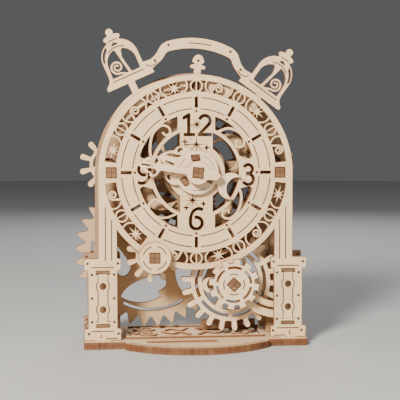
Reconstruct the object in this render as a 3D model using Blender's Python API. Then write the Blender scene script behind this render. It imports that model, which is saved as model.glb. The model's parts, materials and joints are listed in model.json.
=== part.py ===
"""Laser-cut plywood mechanical alarm clock: dial frame, gear train, hands and a rocking twin bell.

Lengths are millimetres on flat drawings and become metres when a piece is made. The front of the
clock faces -Y, +X is to the viewer's right and +Z is up. The origin is the middle of the base
board's underside. A drawing is a list of (x, z) points about a centre, and every plate lies at a
depth behind the front plate's face.
"""

import math

import bpy
from mathutils import Vector

# ---------------------------------------------------------------- driving dimensions (mm)

MM = 0.001
PLY = 3.0                    # sheet the kit is cut from
THIN = 2.0                   # thinner sheet of the motion work
GAP = 0.3                    # clearance between neighbouring pieces
FRONT_Y = -12.0              # world Y of the front plate's face

BASE_HALF_WIDTH = 71.4
BASE_THICK = 4.5
BASE_BACK = 50.5             # depths behind the front plate's face
BASE_CORNER = -5.4
BULGE_STEP = -9.0
BULGE_APEX = -28.6
BULGE_HALF = 45.6

DIAL_Z = 111.0
ARCH_R = 62.0
BAND_OUT_R, BAND_IN_R = 58.0, 51.2
TICK_OUT_R, TICK_IN_R, TICK_WIDE = 47.7, 41.0, 1.8
CHAPTER_IN_R = 37.2
RING_OUT_R, RING_IN_R = 29.6, 27.1
HUB_R = 18.3
STRAP_HALF = 10.55
HOUR_BORE_R = 12.7

LEG_OUT, LEG_IN = 62.0, 50.3
SHAFT_OUT, SHAFT_IN = 68.5, 50.2
CAP_OUT, CAP_IN = 71.1, 47.9
PLINTH_TOP, CAP_LOW, CAP_TOP = 7.7, 45.0, 52.2   # heights above the base board

FRONT_D = 0.0                # depth of each plate's front face
BELL_D = 3.3
HOUR_WHEEL_D, MINUTE_WHEEL_D = 3.4, 6.0
TRAIN_D = 10.0
MIDDLE_D = 19.0
DRIVE_D = 34.0
TRANSFER_D = 40.0
BACK_D = 46.0

AXLE = 6.0                   # square axle, two sheets thick
AXLE_HOLE = AXLE + 2 * GAP
BEARING_R = AXLE / math.sqrt(2) + GAP

TRAIN_MODULE = 2.7185
DRIVE_MODULE = 2.93
TRANSFER_MODULE = 2.753
MOTION_REACH = 18.9          # from the dial's axle to the minute stud
PRESSURE = math.radians(25)
MOTION_PRESSURE = math.radians(28)
BACKLASH = 0.5

CENTRE_TEETH, PINION_TEETH, FINGER_TEETH = 33, 11, 22
DRIVE_TEETH, TRANSFER_TEETH = 33, 28
CANNON_TEETH, MINUTE_TEETH, SMALL_TEETH, HOUR_TEETH = 14, 28, 8, 48
CANNON_MODULE = 2 * MOTION_REACH / (CANNON_TEETH + MINUTE_TEETH)
SMALL_MODULE = 2 * MOTION_REACH / (SMALL_TEETH + HOUR_TEETH)
STUD_R = 1.0
FRONT_GEAR_TEETH = 12

BELL_TURN = math.radians(-5.7)      # the rocker rests leaning clockwise
BELL_PIVOT_UP = 54.5                # above the dial centre
BELL_PEG_R = 3.0

FINGER_PHASE = math.radians(-85)
DRIVE_PHASE = math.radians(177)
HOUR_TURN = math.radians(158.2)
MINUTE_TURN = math.radians(171)


def polar(radius, angle):
    """Point at a radius and angle about the drawing's centre."""
    return (radius * math.cos(angle), radius * math.sin(angle))


def shifted(points, centre):
    """Points moved so that the drawing's centre lies on centre."""
    return [(x + centre[0], z + centre[1]) for x, z in points]


def turned(points, angle):
    """Points turned anticlockwise about the drawing's centre."""
    c, s = math.cos(angle), math.sin(angle)
    return [(x * c - z * s, x * s + z * c) for x, z in points]


def mirrored(points):
    """Points reflected left to right, in reverse order so that a path can run on."""
    return [(-x, z) for x, z in reversed(points)]


def arc(radius, start, end, steps, centre=(0.0, 0.0)):
    """Points along an arc, both ends included."""
    angles = [start + (end - start) * i / steps for i in range(steps + 1)]
    return shifted([polar(radius, a) for a in angles], centre)


def circle(radius, steps=24, centre=(0.0, 0.0)):
    """Closed round outline."""
    return arc(radius, 0.0, 2 * math.pi, steps, centre)[:-1]


def square(side, angle=0.0, centre=(0.0, 0.0)):
    """Closed square outline."""
    half = side / 2
    corners = [(-half, -half), (half, -half), (half, half), (-half, half)]
    return shifted(turned(corners, angle), centre)


def oblong(width, height, centre=(0.0, 0.0), angle=0.0):
    """Closed rectangle."""
    w, h = width / 2, height / 2
    return shifted(turned([(-w, -h), (w, -h), (w, h), (-w, h)], angle), centre)


def ring_slot(inner, outer, start, end, steps):
    """Closed outline of a curved slot between two radii."""
    return arc(outer, start, end, steps) + arc(inner, end, start, steps)


# ---------------------------------------------------------------- axle positions about the dial

def meshed(start, toward, distance):
    """Point at a distance from start, in the direction of toward."""
    way = Vector((toward[0] - start[0], toward[1] - start[1])).normalized()
    return (start[0] + way.x * distance, start[1] + way.y * distance)


def pitch_radius(teeth, module):
    return teeth * module / 2


def centre_distance(teeth_a, teeth_b, module):
    return pitch_radius(teeth_a + teeth_b, module)


DIAL = (0.0, 0.0)
DRIVE = meshed(DIAL, (-26.8, -53.45), centre_distance(CENTRE_TEETH, PINION_TEETH, TRAIN_MODULE))
ALARM = meshed(DIAL, (23.4, -71.0), centre_distance(CENTRE_TEETH, FINGER_TEETH, TRAIN_MODULE))
LEFT = meshed(DRIVE, (-55.2, 4.4), centre_distance(DRIVE_TEETH, PINION_TEETH, DRIVE_MODULE))
RIGHT = meshed(DIAL, (53.4, 5.5), centre_distance(TRANSFER_TEETH, PINION_TEETH, TRANSFER_MODULE))
STUD = (0.0, -MOTION_REACH)
PIVOT = (0.0, BELL_PIVOT_UP)
TIES = {"left": (-53.7, 0.0), "right": (53.7, 0.0)}
BACK_TIES = {"left": (-38.0, 41.0), "right": (38.0, 41.0)}
BACK_TIE_TURN = math.radians(45)


# ---------------------------------------------------------------- making the pieces

def new_collection(name):
    collection = bpy.data.collections.new(name)
    bpy.context.scene.collection.children.link(collection)
    return collection


def wood(name, colour, roughness=0.62):
    """A bare wood finish of its own for one piece."""
    material = bpy.data.materials.new(name)
    material.use_nodes = True
    shader = material.node_tree.nodes["Principled BSDF"]
    shader.inputs["Base Color"].default_value = (*colour, 1.0)
    shader.inputs["Roughness"].default_value = roughness
    shader.inputs["Metallic"].default_value = 0.0
    return material


BIRCH = (0.80, 0.64, 0.44)
BIRCH_SHADE = (0.70, 0.53, 0.34)
BURNT = (0.42, 0.22, 0.11)


def flat_curve(name, outlines, thick):
    """Curve data for a sheet cut to the outlines: the first is the rim, the others are holes."""
    data = bpy.data.curves.new(name, "CURVE")
    data.dimensions = "2D"
    data.fill_mode = "BOTH"
    data.extrude = thick / 2 * MM
    for outline in outlines:
        spline = data.splines.new("POLY")
        spline.points.add(len(outline) - 1)
        for point, (x, z) in zip(spline.points, outline):
            point.co = (x * MM, z * MM, 0.0, 1.0)
        spline.use_cyclic_u = True
    return data


def add_object(name, data, place, colour, collection):
    piece = bpy.data.objects.new(name, data)
    piece.location = place
    data.materials.append(wood(name + "_wood", colour))
    collection.objects.link(piece)
    return piece


def world(point, depth):
    """World place of a point about the dial centre, at a depth behind the front plate's face."""
    return Vector((point[0] * MM, (FRONT_Y + depth) * MM, (DIAL_Z + point[1]) * MM))


def sheet(name, outlines, centre, depth, colour=BIRCH, thick=PLY):
    """A standing plate. Its outlines are about centre, which is also its origin and its axis."""
    place = world(centre, depth + thick / 2)
    piece = add_object(name, flat_curve(name, outlines, thick), place, colour, PARTS)
    piece.rotation_euler = (math.radians(90), 0.0, 0.0)
    return piece


def board(name, outlines, bottom, thick, colour=BIRCH):
    """A lying board. Its outlines are (x, depth) points and bottom is its height."""
    place = (0.0, FRONT_Y * MM, (bottom + thick / 2) * MM)
    return add_object(name, flat_curve(name, outlines, thick), place, colour, PARTS)


def bar(name, centre, depth_from, depth_to, side=AXLE, angle=0.0, colour=BURNT):
    """A square bar along the depth: an axle, a tie or a peg."""
    return sheet(name, [square(side, angle)], centre, depth_from, colour, depth_to - depth_from)


def collar(name, centre, depth_from, depth_to, angle=0.0, radius=6.5):
    """A round spacer with a square hole, threaded on an axle."""
    outlines = [circle(radius, 20), square(AXLE_HOLE, angle)]
    return sheet(name, outlines, centre, depth_from, BIRCH_SHADE, depth_to - depth_from)


# ---------------------------------------------------------------- gears

def involute(angle):
    return math.tan(angle) - angle


def tooth_half_angle(radius, teeth, module, pressure):
    """Half the angle that a tooth takes at a radius."""
    pitch = pitch_radius(teeth, module)
    base = pitch * math.cos(pressure)
    at_pitch = (math.pi * module / 2 - BACKLASH / 2) / 2 / pitch
    lift = math.acos(min(1.0, base / max(radius, base)))
    return at_pitch + involute(pressure) - involute(lift)


def gear(teeth, module, phase, head=1.0, foot=1.3, pressure=PRESSURE, flank_steps=2):
    """Closed outline of a spur gear with involute flanks and a tooth centred on phase."""
    pitch = pitch_radius(teeth, module)
    low, high = pitch - foot * module, pitch + head * module
    start = max(low, pitch * math.cos(pressure))
    radii = [start + (high - start) * i / flank_steps for i in range(flank_steps + 1)]
    if low < start:
        radii.insert(0, low)
    points = []
    for n in range(teeth):
        middle = phase + 2 * math.pi * n / teeth
        halves = [tooth_half_angle(r, teeth, module, pressure) for r in radii]
        points += [polar(r, middle - h) for r, h in zip(radii, halves)]
        points += [polar(r, middle + h) for r, h in reversed(list(zip(radii, halves)))]
    return points


def mesh_phase(driver_at, driver_teeth, driver_phase, driven_at, driven_teeth):
    """Phase that sets the driven gear's gap over the driver's tooth."""
    line = math.atan2(driven_at[1] - driver_at[1], driven_at[0] - driver_at[0])
    ahead = (line - driver_phase) * driver_teeth / (2 * math.pi)
    return line + math.pi - (0.5 - ahead) * 2 * math.pi / driven_teeth


def spoke_holes(inner, outer, count, spoke, first=0.0, steps=5):
    """Openings between the spokes of a wheel, with sides parallel to the spokes."""
    holes = []
    for n in range(count):
        start = first + 2 * math.pi * n / count
        end = start + 2 * math.pi / count
        near = math.asin(spoke / 2 / inner)
        far = math.asin(spoke / 2 / outer)
        holes.append(arc(outer, start + far, end - far, steps) + arc(inner, end - near, start + near, steps))
    return holes


def arc_slots(inner, outer, count, cover, first=0.0, steps=4):
    """Curved slots evenly spaced round a wheel."""
    pitch = 2 * math.pi / count
    starts = [first + pitch * (n - cover / 2) for n in range(count)]
    return [ring_slot(inner, outer, s, s + pitch * cover, steps) for s in starts]


# ---------------------------------------------------------------- frame plates

def lobe_on(radius, centre, lobe_r, steps=8):
    """Stretch of outline round a lobe that swells out of a round plate, going clockwise."""
    reach = math.hypot(*centre)
    line = math.atan2(centre[1], centre[0])
    spread = math.acos((radius ** 2 + reach ** 2 - lobe_r ** 2) / (2 * radius * reach))
    meet = Vector(polar(radius, line + spread)) - Vector(centre)
    half = abs(math.atan2(meet.y, meet.x) - line) % (2 * math.pi)
    half = min(half, 2 * math.pi - half)
    path = arc(lobe_r, line + half, line - half, steps, centre)
    return path, line + spread, line - spread


def arm_on(radius, centre, half_width, steps=8):
    """Stretch of outline round an arm that reaches from a round plate to centre, going clockwise."""
    line = math.atan2(centre[1], centre[0])
    spread = math.asin(half_width / radius)
    quarter = math.pi / 2
    path = arc(half_width, line + quarter, line - quarter, steps, centre)
    return path, line + spread, line - spread


def foot_tab(side, inner, outer, low):
    """Tab under a pillar that stands in the base board's slot."""
    middle = (inner + outer) / 2
    half, drop = 5.0, BASE_THICK - 0.5
    path = [(middle + half, low), (middle + half, low - drop), (middle - half, low - drop), (middle - half, low)]
    return [(side * x, z) for x, z in (path if side > 0 else reversed(path))]


def pillar_side(widen, raise_cap, raise_plinth, arch_r):
    """Right-hand outer edge from the leg down to the base board."""
    floor = BASE_THICK + GAP - DIAL_Z
    base = BASE_THICK - DIAL_Z
    plinth = base + PLINTH_TOP + raise_plinth
    low, top = base + CAP_LOW + raise_cap, base + CAP_TOP + raise_cap
    cap, shaft = CAP_OUT + widen, SHAFT_OUT + widen
    return [(arch_r, top), (cap, top), (cap, low), (shaft, low), (shaft, plinth), (cap, plinth), (cap, floor)]


def pillar_inside(raise_cap, raise_plinth):
    """Right-hand inner edge from the base board up to the leg."""
    floor = BASE_THICK + GAP - DIAL_Z
    base = BASE_THICK - DIAL_Z
    plinth = base + PLINTH_TOP + raise_plinth
    low, top = base + CAP_LOW + raise_cap, base + CAP_TOP + raise_cap
    return [(CAP_IN, floor), (CAP_IN, plinth), (SHAFT_IN, plinth), (SHAFT_IN, low),
            (CAP_IN, low), (CAP_IN, top), (LEG_IN, top)]


def frame_outline(arch_r, widen=0.0, raise_cap=0.0, raise_plinth=0.0, arm=True):
    """Rim of an arched plate on two pillars, clockwise from the left end of the arch."""
    floor = BASE_THICK + GAP - DIAL_Z
    outside = pillar_side(widen, raise_cap, raise_plinth, arch_r)
    inside = pillar_inside(raise_cap, raise_plinth)
    tab = foot_tab(1, CAP_IN, CAP_OUT, floor)
    right = outside + tab + inside
    leg_angle = math.acos(LEG_IN / arch_r)
    middle = []
    stop = -leg_angle
    if arm:
        path, near, far = arm_on(arch_r, ALARM, 8.0)
        middle += arc(arch_r, stop, near, 6) + path
        stop = far
    path, near, far = lobe_on(arch_r, DRIVE, 9.0)
    middle += arc(arch_r, stop, near, 8) + path
    middle += arc(arch_r, far, -math.pi + leg_angle, 5)
    return arc(arch_r, math.pi, 0.0, 48) + right + middle + mirrored(right)


def opening_quadrants(inner, outer, strap, cross):
    """Four openings between two radii, parted by an upright strap and a crossbar."""
    holes = []
    far = arc(outer, math.asin(cross / outer), math.acos(strap / outer), 8)
    near = arc(inner, math.acos(strap / inner), math.asin(cross / inner), 5)
    for points in (far + near, mirrored(far + near)):
        holes.append(points)
        holes.append([(x, -z) for x, z in points])
    return holes


def side_openings(inner, outer, strap):
    """Left and right openings between the hub plate and the ring round it."""
    far, near = math.acos(strap / outer), math.acos(strap / inner)
    right = arc(outer, -far, far, 16) + arc(inner, near, -near, 12)
    return [right, mirrored(right)]


def band_is_clear(angle):
    """Whether an opening of the ornament band misses the ties and the drive bearing."""
    middle = Vector(polar((BAND_OUT_R + BAND_IN_R) / 2, angle))
    return all((middle - Vector(at)).length > 13.0 for at in (*TIES.values(), DRIVE))


def dial_openings():
    """Cut-outs of the dial: ticks, the ornament band and the openings round the hub."""
    holes = side_openings(HUB_R, RING_IN_R, STRAP_HALF)
    holes += opening_quadrants(RING_OUT_R, CHAPTER_IN_R, STRAP_HALF + 1.5, 10.5)
    for hour in range(12):
        angle = math.radians(30 * hour)
        middle = polar((TICK_IN_R + TICK_OUT_R) / 2, angle)
        holes.append(oblong(TICK_OUT_R - TICK_IN_R, TICK_WIDE, middle, angle))
    pitch = math.radians(15)
    for n in range(24):
        middle = pitch * (n + 0.5)
        if band_is_clear(middle):
            holes.append(ring_slot(BAND_IN_R, BAND_OUT_R, middle - pitch * 0.33, middle + pitch * 0.33, 2))
    return holes


RAIL_HEIGHTS = {"upper": 43.6, "lower": 9.6}
RAIL_WIDE, RAIL_THICK = 8.0, 1.5


def rail_slots():
    """Slots for the rails that run through the pillars."""
    slots = []
    for side in (-1, 1):
        for height in RAIL_HEIGHTS.values():
            middle = (side * (SHAFT_IN + SHAFT_OUT) / 2, BASE_THICK + height - DIAL_Z)
            slots.append(oblong(RAIL_WIDE + 2 * GAP, RAIL_THICK + 2 * GAP, middle))
    return slots


def front_plate():
    holes = dial_openings() + rail_slots()
    holes += [circle(HOUR_BORE_R, 32), circle(BEARING_R, 20, DRIVE), circle(BEARING_R, 20, ALARM)]
    holes += [square(AXLE_HOLE, 0.0, tie) for tie in TIES.values()]
    sheet("front_plate", [frame_outline(ARCH_R)] + holes, DIAL, FRONT_D)


def middle_plate():
    outline = frame_outline(ARCH_R + 2.0, 0.6, 2.0, 4.9)
    bearings = [circle(BEARING_R, 20, at) for at in (DIAL, DRIVE, ALARM, LEFT, RIGHT)]
    holes = opening_quadrants(14.0, 47.0, 9.0, 7.0) + rail_slots() + bearings
    holes += [square(AXLE_HOLE, BACK_TIE_TURN, tie) for tie in BACK_TIES.values()]
    sheet("middle_plate", [outline] + holes, DIAL, MIDDLE_D, BIRCH_SHADE)


def back_plate():
    outline = frame_outline(ARCH_R, arm=False)
    bearings = [circle(BEARING_R, 20, at) for at in (DIAL, DRIVE, LEFT, RIGHT)]
    holes = opening_quadrants(14.0, 46.0, 8.0, 7.0) + bearings
    holes += [square(AXLE_HOLE, BACK_TIE_TURN, tie) for tie in BACK_TIES.values()]
    sheet("back_plate", [outline] + holes, DIAL, BACK_D, BIRCH_SHADE)


def ties_and_rails():
    for side, place in TIES.items():
        bar(side + "_tie", place, FRONT_D - 1.0, MIDDLE_D - GAP)
    for side, place in BACK_TIES.items():
        bar(side + "_back_tie", place, MIDDLE_D, BACK_D + PLY, angle=BACK_TIE_TURN)
    for sign, side in ((-1, "left"), (1, "right")):
        for level, height in RAIL_HEIGHTS.items():
            middle = (sign * (SHAFT_IN + SHAFT_OUT) / 2, BASE_THICK + height - DIAL_Z)
            name = side + "_" + level + "_rail"
            length = MIDDLE_D + PLY - FRONT_D
            sheet(name, [oblong(RAIL_WIDE, RAIL_THICK)], middle, FRONT_D, BURNT, length)


# ---------------------------------------------------------------- base

def base_outline():
    """Board edge seen from above: square corners and a front that swells in an arc."""
    rise = BULGE_STEP - BULGE_APEX
    radius = (BULGE_HALF ** 2 + rise ** 2) / (2 * rise)
    half = math.asin(BULGE_HALF / radius)
    swell = arc(radius, -math.pi / 2 - half, -math.pi / 2 + half, 24, (0.0, BULGE_APEX + radius))
    return ([(-BASE_HALF_WIDTH, BASE_BACK), (-BASE_HALF_WIDTH, BASE_CORNER), (-BULGE_HALF, BASE_CORNER)]
            + swell + [(BULGE_HALF, BASE_CORNER), (BASE_HALF_WIDTH, BASE_CORNER), (BASE_HALF_WIDTH, BASE_BACK)])


def base():
    slots = []
    for side in (-1, 1):
        for depth in (FRONT_D, MIDDLE_D, BACK_D):
            middle = (side * (CAP_IN + CAP_OUT) / 2, depth + PLY / 2)
            slots.append(oblong(10.0 + 2 * GAP, PLY + 2 * GAP, middle))
    board("base_board", [base_outline()] + slots, 0.0, BASE_THICK)


def deck():
    """Thin openwork panel lying on the base board between the pillars."""
    front, back, half = 3.6, 44.0, 45.0
    rim = [(-half, front), (half, front), (half, back), (-half, back)]
    leaves = [shifted([(x * 1.6, z * 0.5) for x, z in circle(8.0, 14)], (x, z))
              for x in (-28.0, 0.0, 28.0) for z in (12.0, 29.0)]
    board("base_deck", [rim] + leaves, BASE_THICK + GAP, 1.0, BIRCH)


def name_plate():
    """Blank plate that lies on the board in front of the dial."""
    middle, width, deep = (-10.0, -6.5), 44.0, 7.0
    board("name_plate", [oblong(width, deep, middle)], BASE_THICK + GAP, 0.8, BIRCH)


def deck_rail():
    """Low rail with square teeth that stands on the deck behind the finger wheel."""
    left, low, pitch, count = 4.0, BASE_THICK + 1.6, 8.0, 5
    right, shoulder, tip = left + pitch * count, low + 2.0, low + 6.2
    points = [(left, low), (left, shoulder)]
    for n in range(count):
        x = left + pitch * n
        points += [(x + 2.0, shoulder), (x + 2.0, tip), (x + 6.0, tip), (x + 6.0, shoulder)]
    points += [(right, shoulder), (right, low)]
    sheet("deck_rail", [[(x, z - DIAL_Z) for x, z in points]], DIAL, 26.0, BIRCH_SHADE)


# ---------------------------------------------------------------- bells

BELL_LEAN = math.radians(30)
BELL_FOOT = (40.7, -1.9)
BELL_HALF = 16.1
BALL_UP = 34.1
STEM_HALF = 2.35
YOKE_OUT, YOKE_IN = 60.5, 50.0
YOKE_TAPER = 3.6
YOKE_ENDS = (math.radians(45), math.radians(158))


def in_bell(points):
    """Right-hand bell's own points, (across, up its axis), placed about the rocker's pivot."""
    return shifted(turned(points, -BELL_LEAN), BELL_FOOT)


def bell_shoulder():
    """Edge of a bell from its ball to the top of its lip, on the side away from the handle."""
    ball = arc(2.5, math.radians(90), math.radians(-38), 5, (0.0, BALL_UP))
    knop = arc(1.5, math.radians(80), math.radians(-80), 4, (4.1, 30.3))
    dome = arc(11.9, math.radians(68), math.radians(0), 6, (0.0, 17.0))
    return ball + knop + dome + [(12.0, 5.2), (16.1, 1.6), (15.7, 0.0)]


def bell_inside():
    """Edge of a bell from the handle up to its ball."""
    dome = arc(11.9, math.radians(180), math.radians(112), 6, (0.0, 17.0))
    knop = arc(1.5, math.radians(260), math.radians(100), 4, (-4.1, 30.3))
    ball = arc(2.5, math.radians(218), math.radians(100), 4, (0.0, BALL_UP))
    return [(-11.9, 9.0)] + dome + knop + ball


def handle_outer():
    """Upper edge of the handle, from its top to the right-hand bell."""
    rise, half = 4.4, 21.4
    radius = (half ** 2 + rise ** 2) / (2 * rise)
    crown = arc(radius, math.pi / 2, math.pi / 2 - math.asin(half / radius), 6, (0.0, 30.5 - radius))
    return crown + [(24.6, 23.3), (27.4, 17.4), (30.2, 14.0)]


def handle_inner():
    """Lower edge of the handle, from the right-hand lip to its top."""
    rise, half = 3.6, 19.2
    radius = (half ** 2 + rise ** 2) / (2 * rise)
    end = math.asin(half / radius)
    crown = arc(radius, math.pi / 2 - end, math.pi / 2, 6, (0.0, 23.6 - radius))
    return [(28.2, 8.4), (23.0, 14.4)] + crown


def yoke_point(offset):
    """Where a line beside the right-hand stem meets the yoke's outer edge."""
    origin = Vector(in_bell([(offset, 0.0)])[0])
    way = Vector(in_bell([(offset, -1.0)])[0]) - origin
    to_dial = origin - Vector((0.0, -BELL_PIVOT_UP))
    half_b = way.dot(to_dial)
    gone = -half_b - math.sqrt(half_b ** 2 - to_dial.length_squared + YOKE_OUT ** 2)
    meet = origin + way * gone
    return (meet.x, meet.y)


def yoke_angle(point):
    return math.atan2(point[1] + BELL_PIVOT_UP, point[0])


def finial():
    """Right-hand edge of the spear that stands on the yoke, from its foot to its tip."""
    foot = math.sqrt(YOKE_OUT ** 2 - STEM_HALF ** 2) - BELL_PIVOT_UP
    bead = arc(1.3, math.radians(-90), math.radians(90), 4, (3.7, 12.2))
    return [(STEM_HALF, foot), (STEM_HALF, 10.9)] + bead + [(2.0, 13.9), (3.85, 15.6), (2.9, 18.4), (0.0, 20.3)]


def rocker_outline():
    """Outer rim of the bell plate, clockwise from the handle's top."""
    shoulder, inside = bell_shoulder(), bell_inside()
    dial = (0.0, -BELL_PIVOT_UP)
    out_stem = yoke_point(STEM_HALF)
    right = handle_outer() + in_bell(inside + shoulder) + in_bell([(STEM_HALF, 0.0)])
    first, last = YOKE_ENDS
    right += arc(YOKE_OUT, yoke_angle(out_stem), first, 2, dial)
    left = mirrored(handle_outer() + in_bell(inside + shoulder) + in_bell([(STEM_HALF, 0.0)]))
    left_stem = math.pi - yoke_angle(out_stem)
    yoke = arc(YOKE_IN, first, last, 26, dial)
    for n in range(9):
        share = n / 8
        radius = YOKE_OUT - YOKE_TAPER * (1 - share) ** 2
        yoke += shifted([polar(radius, last + (left_stem - last) * share)], dial)
    return right + yoke + left[:-1]


def rocker_window():
    """Opening between the handle, the bells and the yoke, with the finial standing in it."""
    in_stem = yoke_point(-STEM_HALF)
    dial = (0.0, -BELL_PIVOT_UP)
    foot_angle = math.acos(STEM_HALF / YOKE_OUT)
    right = arc(YOKE_OUT, foot_angle, yoke_angle(in_stem), 6, dial)
    right += in_bell([(-STEM_HALF, 0.0), (-BELL_HALF, 0.0)]) + handle_inner()
    return finial()[::-1][:-1] + right + mirrored(right)[1:-1] + mirrored(finial()[::-1])[:-1]


def bell_windows():
    """Openings inside the right-hand bell, either side of its slanting bar."""
    wide = arc(8.6, math.radians(95), math.radians(0), 5, (0.6, 15.0)) + [(9.2, 6.2), (-1.0, 6.2)]
    narrow = [(-9.0, 6.2), (-3.6, 6.2), (-2.4, 22.0)] + arc(8.6, math.radians(125), math.radians(175), 3, (-0.4, 15.0))
    return [in_bell(wide), in_bell(narrow)]


def bell_plate():
    holes = [rocker_window(), circle(BELL_PEG_R + GAP, 20)]
    for window in bell_windows():
        holes += [window, mirrored(window)]
    outlines = [turned(points, BELL_TURN) for points in [rocker_outline()] + holes]
    sheet("bell_plate", outlines, PIVOT, BELL_D)


def bell_peg():
    """Round peg that the rocker swings on, with its tail in front of the middle plate."""
    sheet("bell_peg", [circle(BELL_PEG_R, 20)], PIVOT, FRONT_D + PLY + GAP - 0.1, BURNT,
          MIDDLE_D - FRONT_D - PLY - 2 * GAP + 0.1)


# ---------------------------------------------------------------- gear train

def drive_group():
    """Winding knob, petal pinion and spiked wheel on the lower left axle."""
    bar("drive_axle", DRIVE, -7.5, BACK_D + PLY + 1.0)
    hole = square(AXLE_HOLE)
    sheet("winding_knob", [circle(10.2, 32), hole], DRIVE, -6.5)
    collar("knob_collar", DRIVE, -3.2, -0.3)
    centre_phase = mesh_phase(ALARM, FINGER_TEETH, FINGER_PHASE, DIAL, CENTRE_TEETH)
    pinion_phase = mesh_phase(DIAL, CENTRE_TEETH, centre_phase, DRIVE, PINION_TEETH)
    petals = gear(PINION_TEETH, TRAIN_MODULE, pinion_phase, 1.1, 1.2)
    sheet("drive_pinion", [petals, hole], DRIVE, TRAIN_D)
    collar("drive_front_collar", DRIVE, PLY + GAP, TRAIN_D - GAP)
    collar("drive_rear_collar", DRIVE, MIDDLE_D + PLY + GAP, DRIVE_D - GAP)
    spikes = gear(DRIVE_TEETH, DRIVE_MODULE, DRIVE_PHASE, 0.8, 1.4)
    windows = spoke_holes(13.0, 34.5, 5, 7.0, math.radians(20), 7)
    windows += arc_slots(38.0, 40.4, 5, 0.8, math.radians(56), 6)
    sheet("drive_wheel", [spikes, hole] + windows, DRIVE, DRIVE_D)


def centre_group():
    """Minute hand, cannon pinion, centre wheel and transfer wheel on the dial's axle."""
    turn = math.radians(-5)
    hole = square(AXLE_HOLE, turn)
    bar("centre_axle", DIAL, -12.0, BACK_D + PLY + 1.0, angle=turn)
    sheet("minute_hand", [turned(minute_hand_outline(), MINUTE_TURN), hole], DIAL, -11.0)
    collar("minute_collar", DIAL, -7.7, -4.2, turn, 5.6)
    cannon = gear(CANNON_TEETH, CANNON_MODULE, 0.0, 0.9, 1.15, MOTION_PRESSURE)
    sheet("cannon_pinion", [cannon, hole], DIAL, MINUTE_WHEEL_D, BIRCH_SHADE, THIN)
    phase = mesh_phase(ALARM, FINGER_TEETH, FINGER_PHASE, DIAL, CENTRE_TEETH)
    wheel = gear(CENTRE_TEETH, TRAIN_MODULE, phase, 0.8, 1.4)
    windows = spoke_holes(11.0, 36.5, 4, 7.0, math.radians(30), 8)
    sheet("centre_wheel", [wheel, hole] + windows, DIAL, TRAIN_D, BIRCH_SHADE)
    collar("centre_front_collar", DIAL, TRAIN_D + PLY + GAP, MIDDLE_D - GAP, turn)
    collar("centre_rear_collar", DIAL, MIDDLE_D + PLY + GAP, TRANSFER_D - GAP, turn)
    wheel = gear(TRANSFER_TEETH, TRANSFER_MODULE, 0.0, 0.85, 1.35)
    windows = spoke_holes(11.0, 31.0, 5, 6.0, 0.0, 6)
    sheet("transfer_wheel", [wheel, hole] + windows, DIAL, TRANSFER_D, BIRCH_SHADE)


def minute_hand_outline():
    """Hand pointing along +x: round hub, bar, spade head and a pointed tail."""
    hub, bar_half = 7.4, 2.3
    root = math.asin(bar_half / hub)
    spade = [(26.0, -bar_half), (26.6, -5.6), (30.0, -7.6), (33.6, -5.4), (36.0, -2.6), (40.4, 0.0)]
    tail = [(9.0, 3.6), (12.6, 2.6), (15.0, 0.0)]
    tail = [(-x, z) for x, z in tail]
    back = math.radians(150)
    upper = arc(hub, root, back, 8) + tail + [(x, -z) for x, z in reversed(tail[:-1])]
    return upper + arc(hub, -back, -root, 8) + spade + [(x, -z) for x, z in reversed(spade[:-1])]


def hour_hand_outline():
    """Hand pointing along +x: round disc, leaf pointer and a crescent tail."""
    disc = 14.0
    pointer = [(16.0, 5.6), (21.5, 4.6), (27.0, 0.0), (21.5, -4.6), (16.0, -5.6)]
    side = math.atan2(5.2, 13.0)
    moon_at, moon_r, bite_at, bite_r = 23.2, 8.6, 28.2, 7.4
    horn = math.acos((moon_r ** 2 + (bite_at - moon_at) ** 2 - bite_r ** 2) / (2 * moon_r * (bite_at - moon_at)))
    inner = math.pi - math.asin(moon_r * math.sin(horn) / bite_r)
    neck = math.asin(2.6 / moon_r)
    outer_up = arc(moon_r, math.pi - neck, horn, 8, (moon_at, 0.0))
    bite = arc(bite_r, inner, 2 * math.pi - inner, 8, (bite_at, 0.0))
    moon = outer_up + bite[1:-1] + [(x, -z) for x, z in reversed(outer_up)]
    tail = turned(moon, math.pi)
    back = math.pi - math.asin(2.6 / disc)
    return arc(disc, side, back, 12) + tail[::-1] + arc(disc, -back, -side, 12) + pointer[::-1]


PEG_R = 9.5
PEG_WIDE, PEG_DEEP = 3.0, 4.6


def peg_outlines(clear=0.0):
    outlines = []
    for n in range(3):
        angle = math.radians(95.6 + 120 * n)
        outlines.append(oblong(PEG_WIDE + clear, PEG_DEEP + clear, polar(PEG_R, angle), angle))
    return outlines


def hour_group():
    """Hour hand, its bearing disc in the dial's bore and the wheel behind, pinned together."""
    bore = circle(BEARING_R, 20)
    holes = [bore] + peg_outlines(2 * GAP)
    sheet("hour_hand", [turned(hour_hand_outline(), HOUR_TURN)] + holes, DIAL, -3.6)
    sheet("hour_bearing", [circle(HOUR_BORE_R - GAP, 32)] + holes, DIAL, -GAP, BIRCH_SHADE, 3.4)
    phase = mesh_phase(STUD, SMALL_TEETH, 0.0, DIAL, HOUR_TEETH)
    wheel = gear(HOUR_TEETH, SMALL_MODULE, phase, 0.85, 1.25, MOTION_PRESSURE, 1)
    sheet("hour_wheel", [wheel] + holes, DIAL, HOUR_WHEEL_D, BIRCH_SHADE, THIN)
    for n, outline in enumerate(peg_outlines(), 1):
        sheet("hour_peg_" + str(n), [outline], DIAL, -5.0, BURNT, 10.6)


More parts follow.
